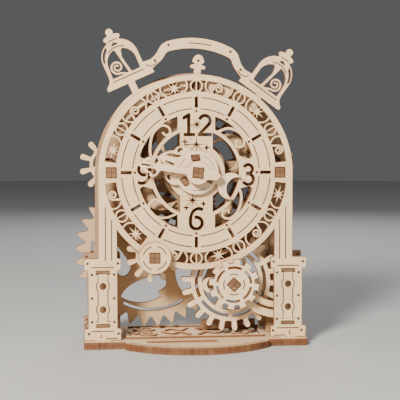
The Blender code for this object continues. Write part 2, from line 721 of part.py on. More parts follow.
def minute_work_group():
    """Wheel and pinion that gear the hour hand down from the minute hand."""
    phase = mesh_phase(DIAL, CANNON_TEETH, 0.0, STUD, MINUTE_TEETH)
    bore = circle(STUD_R + GAP, 16)
    wheel = gear(MINUTE_TEETH, CANNON_MODULE, phase, 0.85, 1.25, MOTION_PRESSURE, 1)
    windows = [circle(2.2, 12, polar(7.2, math.radians(60 * n))) for n in range(6)]
    sheet("minute_wheel", [wheel, bore] + windows, STUD, MINUTE_WHEEL_D, BIRCH_SHADE, THIN)
    pinion = gear(SMALL_TEETH, SMALL_MODULE, 0.0, 0.8, 1.15, MOTION_PRESSURE)
    reach = MINUTE_WHEEL_D - GAP - HOUR_WHEEL_D
    sheet("minute_pinion", [pinion, bore], STUD, HOUR_WHEEL_D, BIRCH_SHADE, reach)
    length = MINUTE_WHEEL_D + THIN + 0.5 - PLY - GAP
    sheet("minute_stud", [circle(STUD_R, 16)], STUD, PLY + GAP, BURNT, length)


def alarm_group():
    """Toothed button, finger wheel and their axle at the lower right."""
    turn = math.radians(45)
    hole = square(AXLE_HOLE, turn)
    bar("alarm_axle", ALARM, -7.0, MIDDLE_D + PLY + 1.5, angle=turn)
    front = []
    for n in range(FRONT_GEAR_TEETH):
        middle = math.radians(22.5 + 30 * n)
        front += [polar(13.4, middle - 0.165), polar(16.2, middle - 0.145),
                  polar(16.2, middle + 0.145), polar(13.4, middle + 0.165)]
    slots = arc_slots(10.2, 11.5, 6, 0.74, math.radians(87))
    sheet("front_gear", [front, hole] + slots, ALARM, -6.0)
    collar("front_gear_collar", ALARM, -2.7, -0.3, turn)
    collar("finger_collar", ALARM, PLY + GAP, TRAIN_D - GAP, turn)
    fingers = gear(FINGER_TEETH, TRAIN_MODULE, FINGER_PHASE, 1.0, 1.35)
    windows = spoke_holes(8.5, 18.5, 3, 5.0, math.radians(40), 5)
    windows += arc_slots(21.3, 23.2, 6, 0.86, 0.0, 5)
    sheet("finger_wheel", [fingers, hole] + windows, ALARM, TRAIN_D)


def click_spring():
    """Two curved leaves that reach from behind the right pillar to the finger wheel's collar."""
    centre = (54.0, -61.5)
    start, end = math.radians(-148), math.radians(-83)
    leaf = arc(32.8, end, start, 12, centre) + arc(22.4, start, end, 9, centre)
    slit = ring_slot(26.2, 28.0, math.radians(-139), math.radians(-92), 8)
    sheet("click_spring", [leaf, shifted(slit, centre)], DIAL, PLY + GAP + 0.4, BIRCH)


def side_pinions():
    """Petal pinions either side of the dial, turned by the spiked and the transfer wheel."""
    left_phase = mesh_phase(DRIVE, DRIVE_TEETH, DRIVE_PHASE, LEFT, PINION_TEETH)
    right_phase = mesh_phase(DIAL, TRANSFER_TEETH, 0.0, RIGHT, PINION_TEETH)
    sides = (("left", LEFT, DRIVE_D, DRIVE_MODULE, left_phase),
             ("right", RIGHT, TRANSFER_D, TRANSFER_MODULE, right_phase))
    for side, place, depth, module, phase in sides:
        bar(side + "_axle", place, MIDDLE_D + GAP, BACK_D + PLY + 1.0)
        petals = gear(PINION_TEETH, module, phase, 1.1, 1.2)
        sheet(side + "_pinion", [petals, square(AXLE_HOLE)], place, depth)
        collar(side + "_collar", place, MIDDLE_D + PLY + GAP, depth - GAP)


# ---------------------------------------------------------------- the whole clock

def clear_scene():
    for item in list(bpy.data.objects):
        bpy.data.objects.remove(item, do_unlink=True)


clear_scene()
PARTS = new_collection("wooden_alarm_clock")
base()
deck()
name_plate()
deck_rail()
front_plate()
middle_plate()
back_plate()
ties_and_rails()
bell_plate()
bell_peg()
drive_group()
centre_group()
hour_group()
minute_work_group()
alarm_group()
click_spring()
side_pinions()
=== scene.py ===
"""Looks of a laser-cut plywood alarm clock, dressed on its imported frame.

Drawings are millimetres about an axle, as (x, z) points seen from the front. A cut piece is a flat
curve with its rim and holes, made a mesh, and set at the depth that its CAD node has.
"""

import cmath
import json
import math

import bmesh
import bpy
from mathutils import Matrix, Vector


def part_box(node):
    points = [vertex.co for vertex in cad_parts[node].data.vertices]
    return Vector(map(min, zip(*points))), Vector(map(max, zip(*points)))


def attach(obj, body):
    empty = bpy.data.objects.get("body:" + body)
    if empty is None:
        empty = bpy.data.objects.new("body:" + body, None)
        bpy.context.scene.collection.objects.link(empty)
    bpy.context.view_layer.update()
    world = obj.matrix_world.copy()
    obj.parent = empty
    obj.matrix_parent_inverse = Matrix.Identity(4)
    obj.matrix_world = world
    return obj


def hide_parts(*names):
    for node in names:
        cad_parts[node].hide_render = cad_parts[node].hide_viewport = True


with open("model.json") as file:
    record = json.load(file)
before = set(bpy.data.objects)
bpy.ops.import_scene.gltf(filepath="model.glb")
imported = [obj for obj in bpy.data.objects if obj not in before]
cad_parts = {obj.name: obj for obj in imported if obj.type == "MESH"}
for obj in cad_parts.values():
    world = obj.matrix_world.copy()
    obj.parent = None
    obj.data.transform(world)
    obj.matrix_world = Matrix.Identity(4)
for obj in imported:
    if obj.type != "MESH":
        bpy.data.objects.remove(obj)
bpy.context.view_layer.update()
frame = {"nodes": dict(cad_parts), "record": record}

MM = 0.001
CHAR = 0.2                   # edge taken off and browned by the laser
FINE_CHAR = 0.16             # the same on fine cut work
HAIR = 0.03                  # fine work is this much thinner than its sheet on each face
LINE, THIN_LINE = 0.7, 0.36  # widths of engraved lines
LINE_FLAT = 0.16             # how far an engraved line is pressed flat
CLEARANCE = 0.6              # a slot or square hole is this much wider than what goes through it
SMOOTH_UNDER = 35            # edges sharper than this angle stay sharp
STAND = Matrix.Rotation(math.radians(90), 4, "X")

AXLES = {joint["name"]: Vector(joint["pos_m"]) / MM for joint in frame["record"]["behaviour"]["joints"]}


def axle(joint):
    """Place of a joint's axis as (x, z)."""
    at = AXLES[joint]
    return (at.x, at.z)


DIAL = axle("centre_turn")
DRIVE = axle("drive_turn")
ALARM = axle("alarm_turn")
LEFT = axle("left_turn")
RIGHT = axle("right_turn")
PIVOT = axle("bell_rock")


def about_dial(point):
    return (point[0] - DIAL[0], point[1] - DIAL[1])


def layer(node):
    """Front and back face of a standing CAD node."""
    low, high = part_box(node)
    return low[1] / MM, high[1] / MM


# ---------------------------------------------------------------- drawing

def polar(radius, degrees):
    angle = math.radians(degrees)
    return (radius * math.cos(angle), radius * math.sin(angle))


def clock(radius, degrees):
    """Point at an angle counted clockwise from twelve."""
    return polar(radius, 90 - degrees)


def shifted(points, centre):
    return [(x + centre[0], z + centre[1]) for x, z in points]


def turned(points, degrees):
    c, s = math.cos(math.radians(degrees)), math.sin(math.radians(degrees))
    return [(x * c - z * s, x * s + z * c) for x, z in points]


def mirrored(points):
    return [(-x, z) for x, z in reversed(points)]


def flipped(points):
    return [(x, -z) for x, z in points]


def sided(points, side):
    """Right-hand points as they are for side 1, or on the left for side -1."""
    return [(side * x, z) for x, z in points]


def scaled(points, factor):
    return [(x * factor, z * factor) for x, z in points]


def arc(radius, start, end, steps, centre=(0.0, 0.0)):
    span = (end - start) / steps
    return shifted([polar(radius, start + span * i) for i in range(steps + 1)], centre)


def circle(radius, steps=32, centre=(0.0, 0.0)):
    return arc(radius, 0, 360, steps, centre)[:-1]


def box_outline(width, height, centre=(0.0, 0.0), degrees=0.0):
    w, h = width / 2, height / 2
    return shifted(turned([(-w, -h), (w, -h), (w, h), (-w, h)], degrees), centre)


def ring_slot(inner, outer, start, end, steps=12):
    return arc(outer, start, end, steps) + arc(inner, end, start, steps)


def arc_slots(inner, outer, count, cover, first=0.0, steps=10):
    """Curved slots round a wheel, each covering a share of its pitch."""
    half = 180 * cover / count
    middles = [first + 360 * n / count for n in range(count)]
    return [ring_slot(inner, outer, m - half, m + half, steps) for m in middles]


def flowing(points, closed=False, steps=6):
    """Smooth path through points."""
    count = len(points)
    at = [Vector(p) for p in points]
    if closed:
        ends = [(at[i - 1], at[i], at[(i + 1) % count], at[(i + 2) % count]) for i in range(count)]
    else:
        at = [2 * at[0] - at[1]] + at + [2 * at[-1] - at[-2]]
        ends = [tuple(at[i:i + 4]) for i in range(count - 1)]
    path = []
    for before, start, end, after in ends:
        for i in range(steps):
            t = i / steps
            path.append(0.5 * (2 * start + (end - before) * t
                               + (2 * before - 5 * start + 4 * end - after) * t ** 2
                               + (3 * start - before - 3 * end + after) * t ** 3))
    if not closed:
        path.append(at[-2])
    return [(p.x, p.y) for p in path]


def rounded(points, radius, steps=3):
    """Closed outline with its corners rounded."""
    out = []
    count = len(points)
    for i, point in enumerate(points):
        here = Vector(point)
        back, ahead = Vector(points[i - 1]) - here, Vector(points[(i + 1) % count]) - here
        reach = min(radius, back.length * 0.45, ahead.length * 0.45)
        start, end = here + back.normalized() * reach, here + ahead.normalized() * reach
        for k in range(steps + 1):
            t = k / steps
            spot = start * (1 - t) ** 2 + here * 2 * t * (1 - t) + end * t ** 2
            out.append((spot.x, spot.y))
    return out


def ribbon(path, width, end_width=None):
    """Closed outline of a stroke along a path, with round ends."""
    end_width = width if end_width is None else end_width
    at = [Vector(p) for p in path]
    last, cap_steps = len(at) - 1, 6
    left, right = [], []
    for i, point in enumerate(at):
        way = (at[min(i + 1, last)] - at[max(i - 1, 0)]).normalized()
        side = Vector((-way.y, way.x)) * (width + (end_width - width) * i / last) / 2
        left.append(point + side)
        right.append(point - side)
    way = (at[-1] - at[-2]).normalized()
    facing = math.degrees(math.atan2(way.y, way.x))
    front = arc(end_width / 2, facing + 90, facing - 90, cap_steps, tuple(at[-1]))[1:-1]
    way = (at[0] - at[1]).normalized()
    facing = math.degrees(math.atan2(way.y, way.x))
    rear = arc(width / 2, facing + 90, facing - 90, cap_steps, tuple(at[0]))[1:-1]
    return [tuple(p) for p in left] + front + [tuple(p) for p in reversed(right)] + rear


def spiral(outer, inner, start, turns, steps=16, centre=(0.0, 0.0)):
    """Path that winds inwards, anticlockwise for positive turns."""
    count = max(4, round(abs(turns) * steps))
    shares = [i / count for i in range(count + 1)]
    return shifted([polar(outer + (inner - outer) * t, start + 360 * turns * t) for t in shares], centre)


def star(points, outer, inner, centre):
    step = 180 / points
    rim = [polar(outer if n % 2 == 0 else inner, 90 + step * n) for n in range(2 * points)]
    return shifted(rim, centre)


# ---------------------------------------------------------------- finishes

CORE_PLY = (0.26, 0.11, 0.042)
SOOT = (0.07, 0.024, 0.010)
LIGHT_SINGE = (0.31, 0.145, 0.06)


def add_sockets(group, way, kinds):
    for name, kind in kinds.items():
        group.interface.new_socket(name=name, in_out=way, socket_type="NodeSocket" + kind)


def new_node(tree, kind, **settings):
    node = tree.nodes.new("ShaderNode" + kind)
    for key, value in settings.items():
        setattr(node, key, value)
    return node


def maths(tree, operation, a, b=0.0, c=None):
    node = new_node(tree, "Math", operation=operation)
    for socket, value in zip(node.inputs, (a, b, c)):
        if isinstance(value, (int, float)):
            socket.default_value = value
        elif value is not None:
            tree.links.new(value, socket)
    return node.outputs[0]


def mixed(tree, share, a, b, blend="MIX"):
    node = new_node(tree, "Mix", data_type="RGBA", blend_type=blend)
    for socket, value in zip((node.inputs[0], node.inputs[6], node.inputs[7]), (share, a, b)):
        if isinstance(value, tuple):
            socket.default_value = (*value, 1.0)
        else:
            tree.links.new(value, socket)
    return node.outputs[2]


def eased(tree, value, low, high, to_low=0.0, to_high=1.0):
    node = new_node(tree, "MapRange", interpolation_type="SMOOTHSTEP")
    tree.links.new(value, node.inputs["Value"])
    for key, number in (("From Min", low), ("From Max", high), ("To Min", to_low), ("To Max", to_high)):
        node.inputs[key].default_value = number
    return node.outputs["Result"]


def noise(tree, vector, stretch, detail=3.0, roughness=0.55):
    """Noise on a vector stretched by a scale along each axis."""
    scale = new_node(tree, "Mapping", vector_type="POINT")
    scale.inputs["Scale"].default_value = stretch
    tree.links.new(vector, scale.inputs["Vector"])
    node = new_node(tree, "TexNoise")
    node.inputs["Scale"].default_value = 1.0
    node.inputs["Detail"].default_value = detail
    node.inputs["Roughness"].default_value = roughness
    tree.links.new(scale.outputs[0], node.inputs["Vector"])
    return node.outputs["Fac"]


def plywood_group():
    """Sanded birch on the faces, browned plies on the cut edges."""
    group = bpy.data.node_groups.new("sanded_ply", "ShaderNodeTree")
    add_sockets(group, "INPUT", {"Place": "Vector", "Facing": "Vector", "Face": "Color", "Fibre": "Color",
                                 "Edge": "Color", "Near": "Float", "Thickness": "Float"})
    add_sockets(group, "OUTPUT", {"Colour": "Color", "Roughness": "Float", "Height": "Float"})
    given = group.nodes.new("NodeGroupInput")
    result = group.nodes.new("NodeGroupOutput")
    place, facing = given.outputs["Place"], given.outputs["Facing"]

    split = new_node(group, "SeparateXYZ")
    group.links.new(facing, split.inputs[0])
    flat = eased(group, maths(group, "ABSOLUTE", split.outputs["Y"]), 0.80, 0.97)

    mottle = noise(group, place, (38.0, 38.0, 62.0), 2.0)
    fibre = noise(group, place, (70.0, 300.0, 1900.0), 4.0, 0.6)
    vessel = noise(group, place, (240.0, 500.0, 3600.0), 2.0)
    streak = eased(group, fibre, 0.50, 0.78)
    pore = eased(group, vessel, 0.66, 0.80)
    darker = given.outputs["Fibre"]
    face = mixed(group, maths(group, "MULTIPLY", streak, 0.42), given.outputs["Face"], darker)
    face = mixed(group, eased(group, mottle, 0.35, 0.75, 0.0, 0.30), face, darker)
    face = mixed(group, maths(group, "MULTIPLY", pore, 0.35), face, darker, "MULTIPLY")

    at = new_node(group, "SeparateXYZ")
    group.links.new(place, at.inputs[0])
    across = maths(group, "DIVIDE", maths(group, "SUBTRACT", at.outputs["Y"], given.outputs["Near"]),
                   given.outputs["Thickness"])
    core = eased(group, maths(group, "ABSOLUTE", maths(group, "SUBTRACT", across, 0.5)), 0.13, 0.20)
    soot = noise(group, place, (900.0, 120.0, 900.0), 3.0, 0.65)
    cloud = noise(group, place, (110.0, 60.0, 110.0), 2.0)
    edge = mixed(group, maths(group, "MULTIPLY", core, 0.45), given.outputs["Edge"], CORE_PLY)
    edge = mixed(group, eased(group, soot, 0.42, 0.72, 0.0, 0.75), edge, SOOT)
    edge = mixed(group, eased(group, cloud, 0.45, 0.75, 0.0, 0.55), edge, LIGHT_SINGE)

    group.links.new(mixed(group, flat, edge, face), result.inputs["Colour"])
    worn = maths(group, "MULTIPLY_ADD", fibre, 0.16, 0.50)
    group.links.new(worn, result.inputs["Roughness"])
    relief = maths(group, "ADD", maths(group, "MULTIPLY", fibre, 0.6), maths(group, "MULTIPLY", soot, 0.4))
    group.links.new(relief, result.inputs["Height"])
    return group


PLYWOOD = plywood_group()
PALE = (0.82, 0.575, 0.325)
CREAM = (0.90, 0.66, 0.40)
# Painted half shade: the pale birch darkened for pieces set back in the clock, out of the light.
LIGHT_SHADE_BIRCH = (0.58, 0.385, 0.21)
# Painted shade, deeper: the birch darkened for pieces in the dim middle of the clock.
MID_SHADE_BIRCH = (0.34, 0.20, 0.105)
SHADED = (0.20, 0.105, 0.05)
FIBRE = (0.58, 0.35, 0.17)
SCORCH = (0.26, 0.095, 0.035)
# Painted deep shade: the birch darkened for the rails, ties and pegs inside the frame.
DEEP_SHADE_BIRCH = (0.13, 0.052, 0.022)
# Scorched edge darkened further as painted shade, for the pieces in deep shade.
SCORCH_IN_SHADE = (0.09, 0.035, 0.014)
ARBOR_FACE, ARBOR_EDGE = (0.115, 0.042, 0.015), (0.12, 0.044, 0.016)
BOARD_EDGE = (0.17, 0.062, 0.022)


def ply(name, near, far, face=PALE, edge=SCORCH, lying=False):
    """Plywood finish for one piece whose sheet runs from near to far."""
    material = bpy.data.materials.new(name)
    material.use_nodes = True
    tree = material.node_tree
    shader = tree.nodes["Principled BSDF"]
    place = new_node(tree, "TexCoord")
    wood = new_node(tree, "Group", node_tree=PLYWOOD)
    for given, wanted in (("Object", "Place"), ("Normal", "Facing")):
        turn = new_node(tree, "Mapping", vector_type="POINT")
        turn.inputs["Rotation"].default_value = (math.radians(90) if lying else 0.0, 0.0, 0.0)
        tree.links.new(place.outputs[given], turn.inputs["Vector"])
        tree.links.new(turn.outputs[0], wood.inputs[wanted])
    wood.inputs["Face"].default_value = (*face, 1.0)
    wood.inputs["Fibre"].default_value = (*FIBRE, 1.0)
    wood.inputs["Edge"].default_value = (*edge, 1.0)
    wood.inputs["Near"].default_value = (-far if lying else near) * MM
    wood.inputs["Thickness"].default_value = (far - near) * MM
    tree.links.new(wood.outputs["Colour"], shader.inputs["Base Color"])
    tree.links.new(wood.outputs["Roughness"], shader.inputs["Roughness"])
    bump = new_node(tree, "Bump")
    bump.inputs["Strength"].default_value = 0.35
    bump.inputs["Distance"].default_value = 0.00012
    tree.links.new(wood.outputs["Height"], bump.inputs["Height"])
    tree.links.new(bump.outputs[0], shader.inputs["Normal"])
    shader.inputs["Specular IOR Level"].default_value = 0.3
    return material


def soot_finish():
    """Charred wood at the bottom of an engraved line."""
    material = bpy.data.materials.new("charred_line")
    material.use_nodes = True
    tree = material.node_tree
    shader = tree.nodes["Principled BSDF"]
    place = new_node(tree, "TexCoord")
    grain = noise(tree, place.outputs["Object"], (1200.0, 1200.0, 1200.0), 3.0)
    colour = mixed(tree, eased(tree, grain, 0.35, 0.70), (0.035, 0.015, 0.008), (0.14, 0.06, 0.028))
    tree.links.new(colour, shader.inputs["Base Color"])
    shader.inputs["Roughness"].default_value = 0.85
    return material


CHARRED = soot_finish()


# ---------------------------------------------------------------- making pieces

def flat_curve(name, outlines, thick, char):
    data = bpy.data.curves.new(name, "CURVE")
    data.dimensions = "2D"
    data.fill_mode = "BOTH"
    data.extrude = (thick / 2 - char) * MM
    data.bevel_depth = char * MM
    data.bevel_resolution = 0
    data.offset = -char * MM
    for outline in outlines:
        spline = data.splines.new("POLY")
        spline.points.add(len(outline) - 1)
        for point, (x, z) in zip(spline.points, outline):
            point.co = (x * MM, z * MM, 0.0, 1.0)
        spline.use_cyclic_u = True
    return data


def mesh_from(data):
    """Mesh of a curve, its faces welded and pointing outwards."""
    holder = bpy.data.objects.new(data.name, data)
    mesh = bpy.data.meshes.new_from_object(holder)
    bpy.data.objects.remove(holder)
    bpy.data.curves.remove(data)
    shape = bmesh.new()
    shape.from_mesh(mesh)
    bmesh.ops.remove_doubles(shape, verts=shape.verts, dist=0.002 * MM)
    bmesh.ops.dissolve_degenerate(shape, edges=shape.edges, dist=0.001 * MM)
    bmesh.ops.recalc_face_normals(shape, faces=shape.faces)
    shape.to_mesh(mesh)
    shape.free()
    return mesh


def finished(name, mesh, body, finish, nodes=()):
    """Puts a placed mesh on its body, standing for its CAD nodes."""
    mesh.name = name
    mesh.materials.clear()
    mesh.materials.append(finish)
    mesh.shade_smooth()
    mesh.set_sharp_from_angle(angle=math.radians(SMOOTH_UNDER))
    piece = bpy.data.objects.new(name, mesh)
    bpy.context.scene.collection.objects.link(piece)
    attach(piece, body)
    if nodes:
        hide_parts(*nodes)


def cut(name, body, outlines, centre, near, far, face=PALE, nodes=(), char=CHAR, edge=SCORCH):
    """A standing sheet cut to the outlines, from its front face at near to its back at far."""
    mesh = mesh_from(flat_curve(name, outlines, far - near, char))
    middle = Vector((centre[0], (near + far) / 2, centre[1])) * MM
    mesh.transform(Matrix.Translation(middle) @ STAND)
    finished(name, mesh, body, ply(name + "_wood", near, far, face, edge), nodes)


def infill(name, body, outlines, centre, node, face=PALE):
    """Fine cut work that stands in the openings of a CAD node's sheet."""
    near, far = layer(node)
    cut(name, body, outlines, centre, near + HAIR, far - HAIR, face, char=FINE_CHAR)


def lying(name, body, outlines, bottom, top, nodes, char, edge=SCORCH):
    """A lying board. Its outlines are (x, y) points."""
    mesh = mesh_from(flat_curve(name, outlines, top - bottom, char))
    mesh.transform(Matrix.Translation(Vector((0.0, 0.0, (bottom + top) / 2)) * MM))
    finished(name, mesh, body, ply(name + "_wood", bottom, top, PALE, edge, lying=True), nodes)


def engraved(name, body, lines, dots, centre, face, width=LINE, lies=False):
    """Charred lines and dots on a face: a line is a path, closed if its ends meet."""
    data = bpy.data.curves.new(name, "CURVE")
    data.dimensions = "3D"
    data.bevel_depth = width / 2 * MM
    data.bevel_resolution = 1
    data.use_fill_caps = True
    for path in lines + [circle(width * 0.65, 10, dot) + [None] for dot in dots]:
        closed = path[-1] is None or path[0] == path[-1]
        points = path[:-1] if closed else path
        spline = data.splines.new("POLY")
        spline.points.add(len(points) - 1)
        for point, (x, z) in zip(spline.points, points):
            point.co = (x * MM, z * MM, 0.0, 1.0)
            point.radius = 1.25 if path[-1] is None else 1.0
        spline.use_cyclic_u = closed
    mesh = mesh_from(data)
    mesh.transform(Matrix.Scale(LINE_FLAT, 4, (0.0, 0.0, 1.0)))
    if lies:
        mesh.transform(Matrix.Translation(Vector((centre[0], centre[1], face)) * MM))
    else:
        mesh.transform(Matrix.Translation(Vector((centre[0], face, centre[1])) * MM) @ STAND)
    finished(name, mesh, body, CHARRED)


# ---------------------------------------------------------------- gears

def tooth_phase(node, centre, teeth):
    """Angle of a tooth on a CAD gear, from where its outermost corners lie."""
    corners = frame["nodes"][node].data.vertices
    spots = [complex(v.co.x / MM - centre[0], v.co.z / MM - centre[1]) for v in corners]
    reach = max(abs(s) for s in spots)
    turn = sum(cmath.exp(1j * teeth * cmath.phase(s)) for s in spots if abs(s) > 0.985 * reach)
    return math.degrees(cmath.phase(turn)) / teeth


def toothed(teeth, phase, tooth):
    """Wheel rim from one tooth drawn as (radius, distance to the side) from its left root to its right."""
    rim = []
    for n in range(teeth):
        middle = phase + 360 * n / teeth
        rim += [polar(math.hypot(r, s), middle + math.degrees(math.atan2(s, r))) for r, s in tooth]
    return rim


def petal(root, tip, wide, foot):
    """Rounded tooth, widest near its pitch."""
    shoulder = tip - wide / 2
    crown = [(shoulder + wide / 2 * math.sin(math.radians(a)), -wide / 2 * math.cos(math.radians(a)))
             for a in range(0, 181, 22)]
    waist = root + (shoulder - root) * 0.45
    left = [(root, -foot / 2 - 0.5), (root + 0.5, -foot / 2), (waist, -(foot + wide) / 4 - 0.05)]
    return left + crown + [(r, -s) for r, s in reversed(left)]


def spike(root, tip, foot):
    """Pointed tooth with hollow flanks."""
    rise = tip - root
    left = [(root, -foot / 2), (root + rise * 0.35, -foot * 0.36), (root + rise * 0.72, -foot * 0.2),
            (tip - 0.15, -0.28)]
    return left + [(tip, 0.0)] + [(r, -s) for r, s in reversed(left)]


def curved_windows(inner, outer, count, spoke, first, sweep):
    """Openings between spokes that sweep round like crescents."""
    windows = []
    pitch, steps, waist = 360 / count, 10, inner * 0.45 + outer * 0.55
    for n in range(count):
        start, end = first + pitch * n, first + pitch * (n + 1)
        gap_in, gap_out = math.degrees(spoke / 2 / inner), math.degrees(spoke / 2 / outer)
        rim = arc(outer, start + gap_out + sweep, end - gap_out + sweep, steps)
        hub = arc(inner, end - gap_in, start + gap_in, steps)
        down = flowing([rim[-1], polar(waist, end - gap_out + sweep * 0.9), hub[0]], steps=4)
        up = flowing([hub[-1], polar(waist, start + gap_out + sweep * 0.9), rim[0]], steps=4)
        windows.append(rim + down[1:-1] + hub + up[1:-1])
    return windows


def moon(size, bite, reach):
    """Crescent with its horns towards the drawing's centre, as (x, z) about its own middle."""
    tip = -(size ** 2 - bite ** 2 + reach ** 2) / (2 * reach)
    horn = math.degrees(math.acos(tip / size))
    turn = math.degrees(math.acos((tip + reach) / bite))
    return arc(size, horn, -horn, 24) + arc(bite, -turn, turn, 18, (-reach, 0.0))[1:-1]


def moons(count, first, radius, size, bite, reach):
    """Crescents set round a wheel with their backs to its rim."""
    middles = [first + 360 * n / count for n in range(count)]
    return [shifted(turned(moon(size, bite, reach), at), polar(radius, at)) for at in middles]


def squared(side, degrees=0.0):
    return box_outline(side, side, (0.0, 0.0), degrees)


# ---------------------------------------------------------------- frame plates

PLY = 3.0
AXLE = 6.0
HOLE = AXLE + CLEARANCE
BEARING_R = 4.54
ARCH_R = 62.0
BAND_OUT, BAND_IN = 58.0, 51.2
BAND_MIDDLE = (BAND_OUT + BAND_IN) / 2
TICK_OUT, TICK_IN, TICK_WIDE = 47.7, 41.0, 1.8
CHAPTER_IN = 37.2
RING_OUT, RING_IN = 29.6, 27.1
HUB_R, STRAP_HALF, HOUR_BORE = 18.3, 10.55, 12.7
LEG_IN, SHAFT_IN, SHAFT_OUT, CAP_IN, CAP_OUT = 50.3, 50.2, 68.5, 47.9, 71.1
PILLAR_X = (CAP_IN + CAP_OUT) / 2
TAB_HALF = 5.0
BOARD_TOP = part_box("base_board")[1][2] / MM - DIAL[1]
FLOOR = BOARD_TOP + 0.3
PLINTH_TOP, CAP_LOW, CAP_TOP = BOARD_TOP + 7.7, BOARD_TOP + 45.0, BOARD_TOP + 52.2
TIES = {"left_tie": (-53.7, 0.0), "right_tie": (53.7, 0.0)}


def bulge_on(radius, centre, size, arm=False):
    """Clockwise stretch of rim round a bearing, and the plate angles where it starts and ends."""
    reach, line = math.hypot(*centre), math.degrees(math.atan2(centre[1], centre[0]))
    if arm:
        spread, half = math.degrees(math.asin(size / radius)), 90
    else:
        cosine = (radius ** 2 + reach ** 2 - size ** 2) / (2 * radius * reach)
        spread = math.degrees(math.acos(cosine))
        meet = Vector(polar(radius, line + spread)) - Vector(centre)
        half = abs(math.degrees(math.atan2(meet.y, meet.x)) - line) % 360
        half = min(half, 360 - half)
    return arc(size, line + half, line - half, 16, centre), line + spread, line - spread


def pillar(widen=0.0, lift_cap=0.0, lift_plinth=0.0, leg_out=ARCH_R):
    """Right-hand pillar with its corners eased, from the arch round to the inside of the leg."""
    top, low, plinth = CAP_TOP + lift_cap, CAP_LOW + lift_cap, PLINTH_TOP + lift_plinth
    cap, shaft, foot = CAP_OUT + widen, SHAFT_OUT + widen, FLOOR - 4.0
    corners = [(leg_out, 0.0), (leg_out, top), (cap, top), (cap, low), (shaft, low), (shaft, plinth),
               (cap, plinth), (cap, FLOOR), (PILLAR_X + TAB_HALF, FLOOR), (PILLAR_X + TAB_HALF, foot),
               (PILLAR_X - TAB_HALF, foot), (PILLAR_X - TAB_HALF, FLOOR), (CAP_IN, FLOOR), (CAP_IN, plinth),
               (SHAFT_IN, plinth), (SHAFT_IN, low), (CAP_IN, low), (CAP_IN, top), (LEG_IN, top),
               (LEG_IN, -30.0)]
    return rounded(corners, 0.9)[4:-4]


def plate_rim(arch_r, right, arm=True):
    """Arch, pillars and the round foot of the dial, clockwise."""
    leg = math.degrees(math.acos(LEG_IN / arch_r))
    middle, stop = [], -leg
    if arm:
        path, near, far = bulge_on(arch_r, about_dial(ALARM), 8.0, arm=True)
        middle += arc(arch_r, stop, near, 10) + path
        stop = far
    path, near, far = bulge_on(arch_r, about_dial(DRIVE), 9.0)
    middle += arc(arch_r, stop, near, 16) + path + arc(arch_r, far, leg - 180, 10)
    return arc(arch_r, 180, 0, 96) + right + middle + mirrored(right)


def band_taken(degrees):
    """Whether a tie or the drive bearing sits at this place in the ornament band."""
    spot = Vector(clock(BAND_MIDDLE, degrees))
    return any((spot - Vector(at)).length < 12.0 for at in (*TIES.values(), about_dial(DRIVE)))


def band_openings():
    stretches = ((-83.0, 83.0), (97.0, 195.5), (217.5, 263.0))
    return [ring_slot(BAND_IN, BAND_OUT, 90 - start, 90 - end, round((end - start) / 3))
            for start, end in stretches]


def rail_slots():
    slots = []
    for node in ("left_upper_rail", "left_lower_rail", "right_upper_rail", "right_lower_rail"):
        low, high = (Vector(corner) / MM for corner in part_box(node))
        middle = ((low.x + high.x) / 2 - DIAL[0], (low.z + high.z) / 2 - DIAL[1])
        slots.append(box_outline(high.x - low.x + CLEARANCE, high.z - low.z + CLEARANCE, middle))
    return slots


ONE = [(-3.9, 37.2), (-3.9, 24.8), (-1.0, 24.8), (-1.0, 23.0), (-8.0, 23.0), (-8.0, 24.8),
       (-5.8, 24.8), (-5.8, 34.4), (-8.6, 33.2), (-8.6, 35.1), (-5.2, 37.2)]


def two():
    """Hook of the 2 and its foot."""
    bowl = (5.4, 32.6)
    outer, inner = arc(4.3, 165, -38, 16, bowl), arc(2.4, -38, 165, 12, bowl)
    return outer + [(3.9, 24.9), (9.7, 24.9), (9.7, 23.0), (1.1, 23.0), (1.1, 24.7)] + inner


def three():
    """Two bowls of the 3, about its middle."""
    high, low = (0.0, 3.1), (0.0, -3.4)
    outer = arc(3.7, 155, -51, 14, high) + arc(4.3, 57, -155, 16, low)
    inner = arc(2.5, -155, 90, 14, low) + [(-1.3, -0.9), (-1.3, 1.2)] + arc(1.9, -90, 155, 12, high)
    return outer + inner


def six():
    """Bowl and curling back of the 6, about its middle."""
    bowl = (0.0, -1.2)
    back = flowing([(4.4, 8.3), (1.2, 9.0), (-2.4, 7.2), (-4.4, 3.0), (-4.7, -1.2)], steps=4)
    front = flowing([(-2.8, -1.2), (-2.6, 2.9), (-1.3, 5.7), (1.2, 7.1), (3.9, 6.5)], steps=4)
    outer, inner = arc(4.7, 180, 465, 22, bowl)[1:], arc(2.8, 465, 180, 20, bowl)[:-1]
    return back + outer + inner + front


def numerals():
    """Cut-through 12, 3, 6 and 9, drawn so that no piece of the plate falls out."""
    nine = shifted(turned(scaled(six(), 0.94), 180), (-33.0, 0.8))
    return [ONE, two(), shifted(three(), (33.2, -1.0)), shifted(six(), (0.0, -31.0)), nine]


def night_sky():
    """Small cut-through stars above and below the hub."""
    big = [(0.3, 30.3, 2.5), (0.0, 17.8, 4.3), (-2.4, -17.7, 3.4)]
    small = [(-7.3, 19.4, 1.9), (6.6, 15.6, 1.8), (4.6, -20.0, 1.8), (-6.4, -22.2, 1.8)]
    waist = 0.62
    stars = [star(8, size, waist, (x, z)) for x, z, size in big]
    return stars + [star(4, size, waist, (x, z)) for x, z, size in small]


def quarter_span(radius, strap, cross):
    """Angles where a quarter window leaves the cross arm and where it meets the upright strap."""
    return math.degrees(math.asin(cross / radius)), math.degrees(math.acos(strap / radius))


def four_ways(points):
    """Outline in the upper right quarter, and its images in the other three."""
    outlines = []
    for half in (points, mirrored(points)):
        outlines += [half, flipped(half)]
    return outlines


